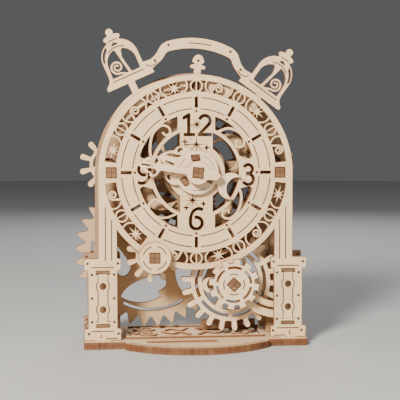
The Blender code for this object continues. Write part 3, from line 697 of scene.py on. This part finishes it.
def hub_openings():
    """Openings either side of the upright straps, inside and outside the inner ring."""
    far, near = math.degrees(math.acos(STRAP_HALF / RING_IN)), math.degrees(math.acos(STRAP_HALF / HUB_R))
    right = arc(RING_IN, -far, far, 28) + arc(HUB_R, near, -near, 20)
    openings = [right, mirrored(right)]
    strap, cross = STRAP_HALF + 1.5, 10.5
    low_out, high_out = quarter_span(CHAPTER_IN, strap, cross)
    low_in, high_in = quarter_span(RING_OUT, strap, cross)
    side = flowing([polar(RING_OUT, low_in), (33.6, 9.0), polar(CHAPTER_IN, low_out)], steps=4)
    quarter = side + arc(CHAPTER_IN, low_out, high_out, 12)[1:] + arc(RING_OUT, high_in, low_in, 12)[:-1]
    return openings + four_ways(quarter)


def ticks():
    middle = (TICK_IN + TICK_OUT) / 2
    return [box_outline(TICK_OUT - TICK_IN, TICK_WIDE, polar(middle, 30 * n), 30 * n) for n in range(12)]


PEEPS = [(59.3, -71.8), (59.3, -86.6)]
PEEP_R = 2.05


def front_plate():
    bearings = [circle(HOUR_BORE, 48)] + [circle(BEARING_R, 24, about_dial(at)) for at in (DRIVE, ALARM)]
    peeps = [circle(PEEP_R, 20, (side * x, z)) for x, z in PEEPS for side in (-1, 1)]
    holes = band_openings() + hub_openings() + ticks() + numerals() + night_sky() + rail_slots()
    holes += bearings + peeps
    holes += [box_outline(HOLE, HOLE, tie) for tie in TIES.values()]
    near, far = layer("front_plate")
    cut("dial_plate", "frame", [plate_rim(ARCH_R, pillar())] + holes, DIAL, near, far, nodes=("front_plate",))


def band_motif(outlines, degrees):
    """Outlines drawn across (along the band, outwards) set in the band at a clock angle."""
    return [shifted(turned(points, -degrees), clock(BAND_MIDDLE, degrees)) for points in outlines]


def moon_ring():
    """Ring with an upright bar, reaching both edges of the band."""
    half = arc(3.0, -80, 80, 12)
    return [circle(4.3, 32), half, mirrored(half)]


def bracket():
    curve = flowing([(7.4, 3.7), (6.2, 2.0), (5.8, 0.0), (6.2, -2.0), (7.4, -3.7)], steps=4)
    return [ribbon(curve, 1.25)]


def curl():
    """Scroll with a round eye that grows out of the band's inner edge."""
    path = flowing([(-3.9, -3.7), (-3.3, -1.6)] + spiral(3.0, 0.7, 185, -1.5, 10), steps=2)
    return [ribbon(path, 1.55, 1.15)]


def burst():
    """Eight-rayed star that reaches along the band and to both of its edges."""
    reach = [7.0, 5.2, 4.1, 5.2]
    return [[polar(reach[n // 2 % 4] if n % 2 == 0 else 1.7, 22.5 * n) for n in range(16)]]


def band_ornaments():
    """Ring, curl and star motifs standing in the openings of the ornament band."""
    pieces = []
    for n in range(12):
        at = 30.0 * n
        if not band_taken(at):
            pieces.append(band_motif(moon_ring(), at))
            pieces.append(band_motif(bracket(), at))
            pieces.append(band_motif([mirrored(bracket()[0])], at))
        if not band_taken(at + 13.0):
            motif = curl() if n % 2 == 0 else burst()
            pieces.append(band_motif(motif, at + 15.0))
    for n, outlines in enumerate(pieces, 1):
        infill("band_ornament_%02d" % n, "frame", outlines, DIAL, "front_plate")


FLOURISHES = [
    [(-28.9, 9.5), (-29.3, 16.0), (-27.6, 24.2), (-22.5, 29.4), (-17.8, 28.6), (-16.6, 25.2), (-19.2, 23.4),
     (-21.2, 25.0)],
    [(13.6, 25.6), (20.3, 27.9), (27.0, 25.6), (30.6, 20.7), (29.4, 16.6), (25.8, 16.4), (24.9, 19.4),
     (26.8, 20.4)],
    [(27.2, -10.0), (28.9, -15.6), (27.0, -24.0), (22.0, -29.2), (17.4, -28.6), (16.6, -25.4), (19.6, -24.0),
     (21.0, -25.6)],
    [(-22.6, -18.6), (-26.7, -16.8), (-30.0, -20.2), (-29.4, -24.9), (-25.2, -28.0), (-19.0, -28.6),
     (-13.4, -26.6)],
]


def flourishes():
    """Scrolls that cross the openings between the inner ring and the hours."""
    for n, points in enumerate(FLOURISHES, 1):
        outline = ribbon(flowing(points, steps=5), 1.9, 1.5)
        infill("dial_scroll_%d" % n, "frame", [outline], DIAL, "front_plate")


PANEL_EDGE = [(4.6, -64.2), (3.1, -64.2), (3.1, -69.0), (4.0, -70.6), (4.0, -73.0), (3.1, -74.6),
              (3.1, -83.8), (4.0, -85.4), (4.0, -87.8), (3.1, -89.4), (3.1, -94.2), (4.6, -94.2)]
PANEL_DOTS = [(x, z) for x in (52.2, 66.2) for z in (-64.4, -79.4, -94.5)]


def cap_lines(side):
    """Lines across a pillar under its cap and over its plinth."""
    return [sided([(52.3, z), (66.4, z)], side) for z in (CAP_LOW + 1.6, PLINTH_TOP - 1.6)]


def dial_lines():
    """Arcs between the ticks, the lines on the legs and the panels on the pillars."""
    lines = [arc(radius, 30 * n + 3.6, 30 * n + 26.4, 14) for n in range(12) for radius in (47.3, 40.3)]
    dots = [polar(38.8, 30 * n) for n in range(12)]
    for side in (-1, 1):
        lines += [sided([(x, low), (x, CAP_TOP - 1.2)], side) for x, low in ((53.7, -30.0), (57.6, -21.9))]
        lines += cap_lines(side)
        lines.append(sided([(60.5, BOARD_TOP + 4.4), (60.5, BOARD_TOP + 1.6)], side))
        lines.append(sided([(50.0, BOARD_TOP + 1.4), (57.5, BOARD_TOP + 1.4)], side))
        lines += [sided([(59.3 + edge * x, z) for x, z in PANEL_EDGE], side) for edge in (-1, 1)]
        studs = [(x, CAP_TOP - 3.0) for x in (49.8, 68.9)] + [(x, BOARD_TOP + 4.5) for x in (49.6, 68.2)]
        dots += sided(studs + PANEL_DOTS, side)
    engraved("dial_lines", "frame", lines, dots, DIAL, layer("front_plate")[0])


def quadrant_windows(inner, outer, strap, cross):
    low_out, high_out = quarter_span(outer, strap, cross)
    low_in, high_in = quarter_span(inner, strap, cross)
    return four_ways(rounded(arc(outer, low_out, high_out, 16) + arc(inner, high_in, low_in, 8), 0.8, 2))


def back_tie_holes():
    return [box_outline(HOLE, HOLE, (side * 38.0, 41.0), 45.0) for side in (-1, 1)]


def inner_bearings():
    return [circle(BEARING_R, 24, about_dial(at)) for at in (DIAL, DRIVE, LEFT, RIGHT)]


def second_plate():
    """Middle plate: the same arch and pillars a little larger, with plainer windows."""
    near, far = layer("middle_plate")
    arch_r = ARCH_R + 2.0
    holes = quadrant_windows(14.0, 47.0, 9.0, 7.0) + rail_slots() + back_tie_holes() + inner_bearings()
    holes.append(circle(BEARING_R, 24, about_dial(ALARM)))
    rim = plate_rim(arch_r, pillar(0.6, 2.0, 4.9, arch_r))
    # Its face is darkened as painted shade, for the shadow behind the dial's band.
    cut("second_plate", "frame", [rim] + holes, DIAL, near, far, MID_SHADE_BIRCH, ("middle_plate",))
    wave = flowing([(70.6, PLINTH_TOP + 2.0), (69.4, PLINTH_TOP + 3.4), (69.0, PLINTH_TOP + 0.8),
                    (70.6, PLINTH_TOP - 1.0), (69.2, PLINTH_TOP - 3.2), (70.8, PLINTH_TOP - 5.0)], steps=4)
    dots = [(side * x, CAP_TOP - 0.6) for side in (-1, 1) for x in (69.6, 49.6)]
    engraved("second_plate_lines", "frame", [sided(wave, side) for side in (-1, 1)], dots, DIAL, near)


def rear_plate():
    """Back plate, with its lines on the side that faces away from the dial."""
    near, far = layer("back_plate")
    rim = plate_rim(ARCH_R, pillar(), arm=False)
    holes = quadrant_windows(14.0, 46.0, 8.0, 7.0) + back_tie_holes() + inner_bearings()
    # Its face is darkened as painted half shade, as it stands deepest in the frame.
    cut("rear_plate", "frame", [rim] + holes, DIAL, near, far, LIGHT_SHADE_BIRCH, ("back_plate",))
    lines = [arc(radius, -28, 208, 80) for radius in (48.2, 60.2)]
    for side in (-1, 1):
        lines += cap_lines(side) + [sided([(57.6, -34.0), (57.6, CAP_TOP - 1.2)], side)]
    engraved("rear_plate_lines", "frame", lines, [], DIAL, far)


# ---------------------------------------------------------------- bells and handle

BELL_TURN = -5.7
BELL_LEAN = 30.0
BELL_FOOT = (40.7, -1.9)
BELL_HALF, BALL_UP, STEM_HALF = 16.1, 34.1, 2.35
PIVOT_UP = PIVOT[1] - DIAL[1]
YOKE_OUT, YOKE_IN, YOKE_TAPER = 60.5, 50.0, 3.6
YOKE_FROM, YOKE_TO = 45, 158
DIAL_DOWN = (0.0, -PIVOT_UP)
DOME_R, DOME_UP = 11.9, 17.0
BALL_R = 2.41


def in_bell(points):
    """Right-hand bell's own points, (across, up its axis), placed about the rocker's pivot."""
    return shifted(turned(points, -BELL_LEAN), BELL_FOOT)


def bell_outside():
    ball = arc(BALL_R, 90, -38, 8, (0.0, BALL_UP))
    knop = arc(1.5, 80, -80, 6, (4.1, 30.3))
    dome = arc(DOME_R, 68, 0, 12, (0.0, DOME_UP))
    lip = flowing([(11.9, 9.5), (12.6, 5.6), (15.6, 2.6)], steps=4)
    return ball + knop + dome + lip + [(16.1, 1.8), (15.7, 0.0)]


def bell_inside():
    dome = arc(DOME_R, 180, 112, 12, (0.0, DOME_UP))
    knop = arc(1.5, 260, 100, 6, (-4.1, 30.3))
    return [(-DOME_R, 9.0)] + dome + knop + arc(BALL_R, 218, 100, 8, (0.0, BALL_UP))


def crown(rise, half, top, steps):
    """Flat arc of the handle, from its middle to its right-hand end."""
    radius = (half ** 2 + rise ** 2) / (2 * rise)
    return arc(radius, 90, 90 - math.degrees(math.asin(half / radius)), steps, (0.0, top - radius))


def handle_outer():
    bend = crown(4.4, 21.4, 30.5, 14)
    return bend[:-1] + flowing([bend[-1], (24.6, 23.3), (27.4, 17.4), (30.2, 14.0)], steps=5)


def handle_inner():
    bend = crown(3.6, 19.2, 23.6, 12)[::-1]
    return flowing([(28.2, 8.4), (23.0, 14.4), (20.8, 18.6), bend[0]], steps=4) + bend[1:]


def yoke_meet(offset):
    """Angle on the yoke where a line beside the right-hand stem meets its outer edge."""
    origin = Vector(in_bell([(offset, 0.0)])[0])
    way = Vector(in_bell([(offset, -1.0)])[0]) - origin
    out = origin - Vector(DIAL_DOWN)
    half_b = way.dot(out)
    meet = out + way * (-half_b - math.sqrt(half_b ** 2 - out.length_squared + YOKE_OUT ** 2))
    return math.degrees(math.atan2(meet.y, meet.x))


def spear():
    """Right-hand edge of the finial on the yoke, from its foot to its tip."""
    foot = math.sqrt(YOKE_OUT ** 2 - STEM_HALF ** 2) - PIVOT_UP
    bead = arc(1.3, -90, 90, 8, (3.7, 12.2))
    head = flowing([(2.2, 14.0), (3.85, 15.4), (3.3, 17.8), (1.9, 19.6), (0.0, 20.3)], steps=4)
    return [(STEM_HALF, foot), (STEM_HALF, 10.9)] + bead + head


def bell_cuts():
    """Openings of the right-hand bell: two windows, a crescent down its side and a nick near the top."""
    outer = arc(9.3, 78, 12, 10, (0.0, 13.6)) + [(9.3, 12.0), (9.6, 6.6)]
    outer_window = rounded([(-1.2, 6.6), (1.6, 22.2)] + outer, 0.7, 2)
    inner_window = rounded([(-9.0, 6.6), (-3.2, 6.6), (-1.2, 17.0), (-2.4, 21.4)]
                           + arc(9.0, 112, 172, 6, (-0.2, 13.6)), 0.7, 2)
    crescent = arc(10.9, 4, 58, 12, (0.0, 17.0)) + arc(10.6, 52, 8, 12, (-0.5, 15.9))
    nick = rounded([(-2.2, 25.6), (0.0, 27.4), (2.4, 25.5)], 0.4, 2)
    return [in_bell(points) for points in (outer_window, inner_window, crescent, nick)]


def bell_rocker():
    shoulder, inside, stem = bell_outside(), bell_inside(), in_bell([(STEM_HALF, 0.0)])
    half = handle_outer() + in_bell(inside + shoulder) + stem
    meet = yoke_meet(STEM_HALF)
    rim = half + arc(YOKE_OUT, meet, YOKE_FROM, 4, DIAL_DOWN)
    rim += arc(YOKE_IN, YOKE_FROM, YOKE_TO, 48, DIAL_DOWN)
    steps = 12
    for n in range(steps + 1):
        share = n / steps
        radius = YOKE_OUT - YOKE_TAPER * (1 - share) ** 2
        rim += shifted([polar(radius, YOKE_TO + (180 - YOKE_TO - meet) * share)], DIAL_DOWN)
    rim += mirrored(half)[:-1]
    foot = math.degrees(math.acos(STEM_HALF / YOKE_OUT))
    gap = arc(YOKE_OUT, foot, yoke_meet(-STEM_HALF), 12, DIAL_DOWN)
    gap += in_bell([(-STEM_HALF, 0.0), (-BELL_HALF, 0.0)]) + handle_inner()
    window = spear()[::-1][:-1] + gap + mirrored(gap)[1:-1] + mirrored(spear()[::-1])[:-1]
    holes = [window, circle(2.9, 20)]
    for opening in bell_cuts():
        holes += [opening, mirrored(opening)]
    near, far = layer("bell_plate")
    outlines = [turned(points, BELL_TURN) for points in [rim] + holes]
    cut("bell_rocker", "bells", outlines, PIVOT, near, far, nodes=("bell_plate",))

    snail = in_bell(ribbon([(-0.6, 6.0)] + spiral(4.3, 0.9, -100, 1.7, 18, (4.3, 12.2)), 1.5, 1.2))
    for side, outline in (("right", snail), ("left", mirrored(snail))):
        infill(side + "_bell_curl", "bells", [turned(outline, BELL_TURN)], PIVOT, "bell_plate")

    lines = [in_bell([(-10.6, 4.6), (10.8, 4.6)]), in_bell(arc(9.6, 52, 122, 12, (0.0, 14.6))),
             in_bell([(-3.0, 28.9), (3.0, 28.9)]), arc(5.0, -160, -60, 8, (30.6, 14.6))]
    lines += [mirrored(line) for line in lines] + [arc(60.0, 83, 97, 10, (0.0, -33.0))]
    dots = [(19.8, 24.1), (27.4, 13.4), (-19.8, 24.1), (-27.4, 13.4), (0.0, 16.2)]
    lines = [turned(line, BELL_TURN) for line in lines]
    engraved("bell_lines", "bells", lines, turned(dots, BELL_TURN), PIVOT, near)


# ---------------------------------------------------------------- hands

MINUTE_TURN, HOUR_TURN = 171.0, 158.2
CENTRE_TURN = -5.0


def minute_hand():
    """Hand pointing along +x: hub, bar, pierced spade and a pointed tail."""
    hub, bar_half = 7.4, 2.25
    root = math.degrees(math.asin(bar_half / hub))
    spade = flowing([(23.6, -bar_half), (24.6, -4.6), (27.4, -6.9), (29.6, -6.4), (30.2, -4.6), (32.4, -5.0),
                     (34.0, -3.6), (36.0, -2.0), (40.2, 0.0)], steps=4)
    tail = [(-8.4, 3.4), (-12.2, 2.9), (-14.9, 0.0)]
    rim = arc(hub, root, 152, 16) + tail + flipped(tail[:-1])[::-1] + arc(hub, -152, -root, 16)
    rim += spade + flipped(spade[:-1])[::-1]
    eye = flowing([(26.4, 2.2), (25.9, 4.2), (28.0, 5.4), (29.0, 3.8), (31.2, 3.4), (32.6, 2.2), (29.4, 1.7)],
                  True, 4)
    slit = ribbon([(28.6, 0.0), (35.4, 0.0)], 0.8)
    holes = [eye, flipped(eye)[::-1], slit]
    outlines = [turned(points, MINUTE_TURN) for points in [rim] + holes] + [squared(HOLE, CENTRE_TURN)]
    near, far = layer("minute_hand")
    cut("minute_pointer", "centre", outlines, DIAL, near, far, CREAM, nodes=("minute_hand",))
    lines = [arc(4.6, 205, 245, 6), arc(4.6, 115, 155, 6)]
    engraved("minute_pointer_lines", "centre", [turned(line, MINUTE_TURN) for line in lines],
             turned([(-12.0, 0.0)], MINUTE_TURN), DIAL, near, THIN_LINE)


def hour_hand():
    """Hand pointing along +x: disc, pierced leaf and a crescent tail."""
    disc, neck_half, root = 14.0, 2.6, (8.0, 11.49)
    leaf = flowing([root, (11.2, 12.8), (14.6, 12.4), (17.6, 10.3), (18.6, 7.9), (21.0, 6.6), (24.4, 3.8),
                    (27.0, 0.0)], steps=4)
    moon_at, moon_r, bite_at, bite_r = 23.2, 8.6, 28.2, 7.4
    reach = bite_at - moon_at
    horn = math.degrees(math.acos((moon_r ** 2 + reach ** 2 - bite_r ** 2) / (2 * moon_r * reach)))
    inner = 180 - math.degrees(math.asin(moon_r * math.sin(math.radians(horn)) / bite_r))
    neck = math.degrees(math.asin(neck_half / moon_r))
    upper = arc(moon_r, 180 - neck, horn, 16, (moon_at, 0.0))
    tail = upper + arc(bite_r, inner, 360 - inner, 16, (bite_at, 0.0))[1:-1] + flipped(upper)[::-1]
    back = 180 - math.degrees(math.asin(neck_half / disc))
    side = math.degrees(math.atan2(root[1], root[0]))
    rim = arc(disc, side, back, 20) + turned(tail, 180)[::-1] + arc(disc, -back, -side, 20)
    rim += flipped(leaf[:-1]) + leaf[::-1]
    comma = flowing([(13.7, 10.0), (15.2, 10.6), (16.5, 9.6), (16.4, 8.0), (14.9, 7.6), (15.2, 8.9)], True, 4)
    sliver = flowing([(13.4, 6.4), (16.0, 5.6), (19.2, 5.3), (22.0, 3.4), (18.4, 3.7), (15.2, 4.2)], True, 4)
    slit = ribbon([(16.0, 0.6), (20.6, 0.6)], 1.1)
    cuts = [slit]
    for hole in (comma, sliver):
        cuts += [hole, flipped(hole)[::-1]]
    holes = [box_outline(3.6, 5.2, polar(9.5, at), at) for at in (95.6, 215.6, 335.6)]
    outlines = [turned(points, HOUR_TURN) for points in [rim] + cuts] + holes + [circle(BEARING_R, 24)]
    near, far = layer("hour_hand")
    cut("hour_pointer", "hour", outlines, DIAL, near, far, CREAM, nodes=("hour_hand",))
    lines = [arc(11.4, start, start + 50, 10) for start in (20, 128, 250)]
    engraved("hour_pointer_lines", "hour", lines, [], DIAL, near, THIN_LINE)


# ---------------------------------------------------------------- wheels

def wheel(name, body, node, centre, rim, openings, face=PALE, square_turn=0.0):
    """Toothed sheet on a square axle."""
    near, far = layer(node)
    cut(name, body, [rim, squared(HOLE, square_turn)] + openings, centre, near, far, face, (node,))


def drive_group():
    near, far = layer("winding_knob")
    button = [circle(10.2, 64), squared(HOLE)]
    cut("winding_button", "drive", button, DRIVE, near, far, nodes=("winding_knob",))
    arcs = [arc(7.4, start, start + 62, 12) for start in (14, 104, 194, 284)]
    engraved("winding_button_lines", "drive", arcs, [], DRIVE, near)
    rim = toothed(11, tooth_phase("drive_pinion", DRIVE, 11), petal(11.3, 17.8, 3.9, 2.5))
    wheel("petal_pinion", "drive", "drive_pinion", DRIVE, rim, [])
    rim = toothed(33, tooth_phase("drive_wheel", DRIVE, 33), spike(44.3, 50.6, 7.0))
    leaf = flowing([(-20.4, -30.2), (-17.6, -25.8), (-12.0, -21.4), (-4.2, -18.2), (4.7, -16.2), (9.3, -19.3),
                    (9.6, -23.6), (4.7, -27.4)], steps=4)
    leaf += flowing([(6.4, -30.6), (0.2, -33.4), (-6.5, -34.4), (-14.3, -33.4), (-20.2, -30.6)], steps=4)
    openings = [turned(leaf, 72 * n) for n in range(5)] + arc_slots(38.2, 40.2, 5, 0.84, 56, 16)
    # The spiked wheel's face is darkened as painted half shade, for the shadow it lies in.
    wheel("spiked_wheel", "drive", "drive_wheel", DRIVE, rim, openings, LIGHT_SHADE_BIRCH)


def centre_group():
    rim = toothed(33, tooth_phase("centre_wheel", DIAL, 33), petal(41.0, 46.8, 3.2, 3.6))
    # The centre wheels lie deep in the clock: their faces are darkened as painted shade, the moons less than
    # the wheels.
    wheel("third_wheel", "centre", "centre_wheel", DIAL, rim, [circle(36.8, 72), circle(20.6, 48)], MID_SHADE_BIRCH)
    infill("third_wheel_moons", "centre", moons(4, 30, 25.4, 12.0, 9.8, 5.2), DIAL, "centre_wheel", LIGHT_SHADE_BIRCH)
    rim = toothed(28, tooth_phase("transfer_wheel", DIAL, 28), petal(34.7, 40.7, 3.3, 3.6))
    openings = curved_windows(11.5, 30.8, 5, 5.0, 0, 12)
    wheel("rear_wheel", "centre", "transfer_wheel", DIAL, rim, openings, SHADED)


def block_tooth(middle):
    """Square tooth of the front gear with its corners eased, between two roots."""
    corners = [(13.3, -12.5), (13.4, -8.9), (16.1, -8.0), (16.15, 8.0), (13.4, 8.9), (13.3, 12.5)]
    return rounded([polar(radius, middle + side) for radius, side in corners], 0.5, 2)[3:-3]


def alarm_group():
    turn, count = 45.0, 12
    near, far = layer("front_gear")
    rim = [point for n in range(count) for point in block_tooth(22.5 + 360 / count * n)]
    slots = [ring_slot(10.2, 11.5, at - 23, at + 23, 10) for at in range(27, 387, 60)]
    cut("button_gear", "alarm", [rim, squared(HOLE, turn)] + slots, ALARM, near, far, CREAM, ("front_gear",))
    arcs = [arc(6.6, at - 26, at + 26, 10) for at in (0, 90, 180, 270)]
    engraved("button_gear_lines", "alarm", arcs, [], ALARM, near)
    rim = toothed(22, tooth_phase("finger_wheel", ALARM, 22), petal(26.1, 32.5, 3.7, 3.3))
    openings = arc_slots(21.4, 23.3, 6, 0.86, 0, 14) + curved_windows(8.6, 18.7, 3, 5.5, 105, 20)
    wheel("finger_gear", "alarm", "finger_wheel", ALARM, rim, openings, CREAM, turn)
    infill("finger_gear_moons", "alarm", moons(3, 189, 13.8, 5.2, 4.0, 2.2), ALARM, "finger_wheel", CREAM)


def side_pinions():
    for side, at, tip in (("left", LEFT, 19.2), ("right", RIGHT, 18.0)):
        node = side + "_pinion"
        rim = toothed(11, tooth_phase(node, at, 11), petal(tip - 7.0, tip, 4.1, 2.7))
        wheel(side + "_petal_pinion", side + "_side", node, at, rim, arc_slots(8.4, 9.8, 5, 0.7, 18, 8))


# ---------------------------------------------------------------- axles and ties

def two_sheet_bar(name, body, node, centre, degrees=0.0):
    """Square bar of two sheets laid together, so a seam shows on its end."""
    near, far = layer(node)
    half = turned(rounded(box_outline(AXLE, AXLE / 2 - 2 * HAIR), 0.25, 2), 90)
    outlines = [turned(shifted(half, (x, 0.0)), degrees) for x in (-AXLE / 4 - HAIR, AXLE / 4 + HAIR)]
    cut(name, body, outlines, centre, near, far, ARBOR_FACE, (node,), char=0.12, edge=ARBOR_EDGE)
    seam = [turned([(-AXLE * 0.44, 0.0), (AXLE * 0.44, 0.0)], degrees)]
    engraved(name + "_seam", body, seam, [], centre, near, 0.5)


def bars():
    two_sheet_bar("winding_arbor", "drive", "drive_axle", DRIVE)
    two_sheet_bar("dial_arbor", "centre", "centre_axle", DIAL, CENTRE_TURN)
    two_sheet_bar("alarm_arbor", "alarm", "alarm_axle", ALARM, 45.0)
    two_sheet_bar("left_arbor", "left_side", "left_axle", LEFT)
    two_sheet_bar("right_arbor", "right_side", "right_axle", RIGHT)
    for node, at in TIES.items():
        two_sheet_bar(node.replace("tie", "stretcher"), "frame", node, shifted([at], DIAL)[0])


# ---------------------------------------------------------------- base

def base_group():
    """Board with a swelling front, its slots, and engraved lines that follow the swell."""
    (left, front, bottom), (right, back, top) = (Vector(c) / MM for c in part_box("base_board"))
    corner_y, step_y, half = -17.4, -21.0, 45.6
    rise = step_y - front
    radius = (half ** 2 + rise ** 2) / (2 * rise)
    spread = math.degrees(math.asin(half / radius))
    swell = arc(radius, -90 - spread, -90 + spread, 48, (0.0, front + radius))
    square_end = rounded([(right, back), (left, back), (left, corner_y), (-half, corner_y), (-half, step_y),
                          (half, step_y), (half, corner_y), (right, corner_y)], 0.8)
    rim = square_end[:16] + swell + square_end[24:]
    slots = []
    for node in ("front_plate", "middle_plate", "back_plate"):
        near, far = layer(node)
        slots += [box_outline(2 * TAB_HALF + CLEARANCE, PLY + CLEARANCE, (side * PILLAR_X, (near + far) / 2))
                  for side in (-1, 1)]
    lying("footboard", "frame", [rim] + slots, bottom, top, ("base_board",), 0.3, BOARD_EDGE)
    reach = spread * 0.97
    lines = [arc(radius - inset, -90 - reach, -90 + reach, 40, (0.0, front + radius)) for inset in (2.0, 3.6)]
    engraved("footboard_lines", "frame", lines, [], (0.0, 0.0), top, lies=True)


def deck_group():
    """Openwork panel of leaves and scrolls between the pillars."""
    (left, front, bottom), (right, back, top) = (Vector(c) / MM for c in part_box("base_deck"))
    middle, half = (front + back) / 2, (right - left) / 2
    rim = rounded([(left, front), (right, front), (right, back), (left, back)], 2.0)
    border = [(x * (1 - 2.4 / half), middle + (y - middle) * 0.88) for x, y in rim]
    outlines = [rim, border]
    path = [(3.0, -11.0), (9.0, -3.0), (14.0, -8.0), (20.0, 0.0), (14.0, 8.0), (8.0, 3.0), (3.0, 11.0)]
    stem = ribbon(flowing(path), 2.2, 1.8)
    for side in (-1, 1):
        for at, turns in ((front + 11.0, 1.4), (back - 11.0, -1.4)):
            snail = ribbon(spiral(7.4, 1.6, 20, turns, 16), 2.2, 1.6)
            outlines.append(shifted(snail if side > 0 else mirrored(snail), (side * 31.0, at)))
        outlines.append(shifted(stem if side > 0 else mirrored(stem), (0.0, middle)))
    lying("scroll_deck", "frame", outlines, bottom, top, ("base_deck",), 0.1)


# Inner parts whose faces are darkened as painted shade: these darker, the list after them darker still.
SHADED_NODES = (
    "knob_collar", "drive_front_collar", "drive_rear_collar", "minute_collar", "cannon_pinion",
    "centre_front_collar", "centre_rear_collar", "minute_wheel", "minute_pinion", "hour_bearing",
    "hour_wheel", "front_gear_collar", "finger_collar", "left_collar", "right_collar",
)
DEEP_SHADE_NODES = (
    "deck_rail", "left_back_tie", "right_back_tie", "left_upper_rail", "left_lower_rail", "right_upper_rail",
    "right_lower_rail", "bell_peg", "minute_stud", "hour_peg_1", "hour_peg_2", "hour_peg_3",
)


def name_plate_border():
    """Engraved border of the blank name plate."""
    (left, front, low), (right, back, top) = (Vector(c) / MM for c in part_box("name_plate"))
    middle = ((left + right) / 2, (front + back) / 2)
    border = rounded(box_outline(right - left - 2.4, back - front - 2.4, middle), 1.2)
    engraved("name_plate_border", "frame", [border + border[:1]], [], (0.0, 0.0), top, 0.45, lies=True)


def kept_nodes():
    """CAD nodes whose shape is right as it is: they only get their wood, the inner ones with faces darkened
    as painted shade.
    """
    shown = {"name_plate": PALE, "click_spring": PALE}
    shown.update({node: SHADED for node in SHADED_NODES})
    shown.update({node: DEEP_SHADE_BIRCH for node in DEEP_SHADE_NODES})
    for node, face in shown.items():
        low, high = (Vector(corner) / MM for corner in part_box(node))
        lies = node == "name_plate"
        near, far = (low.z, high.z) if lies else (low.y, high.y)
        piece = frame["nodes"][node]
        piece.data.materials.clear()
        # Pieces in painted deep shade also get their scorched edge darkened as painted shade.
        edge = SCORCH_IN_SHADE if face == DEEP_SHADE_BIRCH else SCORCH
        piece.data.materials.append(ply(node + "_wood", near, far, face, edge, lies))


# ---------------------------------------------------------------- studio

def camera():
    data = bpy.data.cameras.new("camera")
    data.sensor_width = 36.0
    data.lens = 88.56
    eye = bpy.data.objects.new("camera", data)
    eye.location = (-0.064, -0.632, 0.128)
    aim = Vector((0.0023, -0.012, 0.0935)) - eye.location
    eye.rotation_euler = aim.to_track_quat("-Z", "Y").to_euler()
    bpy.context.scene.collection.objects.link(eye)
    bpy.context.scene.camera = eye


def lamp(name, place, aim, size, power, colour):
    data = bpy.data.lights.new(name, "AREA")
    data.shape = "DISK"
    data.size = size
    data.energy = power
    data.color = colour
    light = bpy.data.objects.new(name, data)
    light.location = place
    light.rotation_euler = (Vector(aim) - Vector(place)).to_track_quat("-Z", "Y").to_euler()
    bpy.context.scene.collection.objects.link(light)


def studio():
    shape = bmesh.new()
    bmesh.ops.create_circle(shape, cap_ends=True, segments=64, radius=3.0)
    mesh = bpy.data.meshes.new("floor")
    shape.to_mesh(mesh)
    shape.free()
    floor = bpy.data.objects.new("floor", mesh)
    material = bpy.data.materials.new("pale_floor")
    material.use_nodes = True
    shader = material.node_tree.nodes["Principled BSDF"]
    shader.inputs["Base Color"].default_value = (0.56, 0.55, 0.53, 1.0)
    shader.inputs["Roughness"].default_value = 0.7
    mesh.materials.append(material)
    bpy.context.scene.collection.objects.link(floor)
    world = bpy.data.worlds.new("studio")
    world.use_nodes = True
    world.node_tree.nodes["Background"].inputs["Color"].default_value = (0.80, 0.82, 0.86, 1.0)
    world.node_tree.nodes["Background"].inputs["Strength"].default_value = 0.13
    bpy.context.scene.world = world
    lamp("key", (-0.50, -0.85, 0.62), (0.0, 0.0, 0.1), 0.26, 27.0, (1.0, 0.97, 0.92))
    lamp("fill", (0.8, -0.8, 0.30), (0.0, 0.0, 0.1), 0.7, 1.8, (0.93, 0.96, 1.0))
    lamp("rim", (0.2, 0.9, 0.7), (0.0, 0.0, 0.12), 0.6, 4.0, (1.0, 1.0, 1.0))


front_plate()
band_ornaments()
flourishes()
dial_lines()
second_plate()
rear_plate()
bell_rocker()
minute_hand()
hour_hand()
drive_group()
centre_group()
alarm_group()
side_pinions()
bars()
base_group()
deck_group()
name_plate_border()
kept_nodes()
camera()
studio()
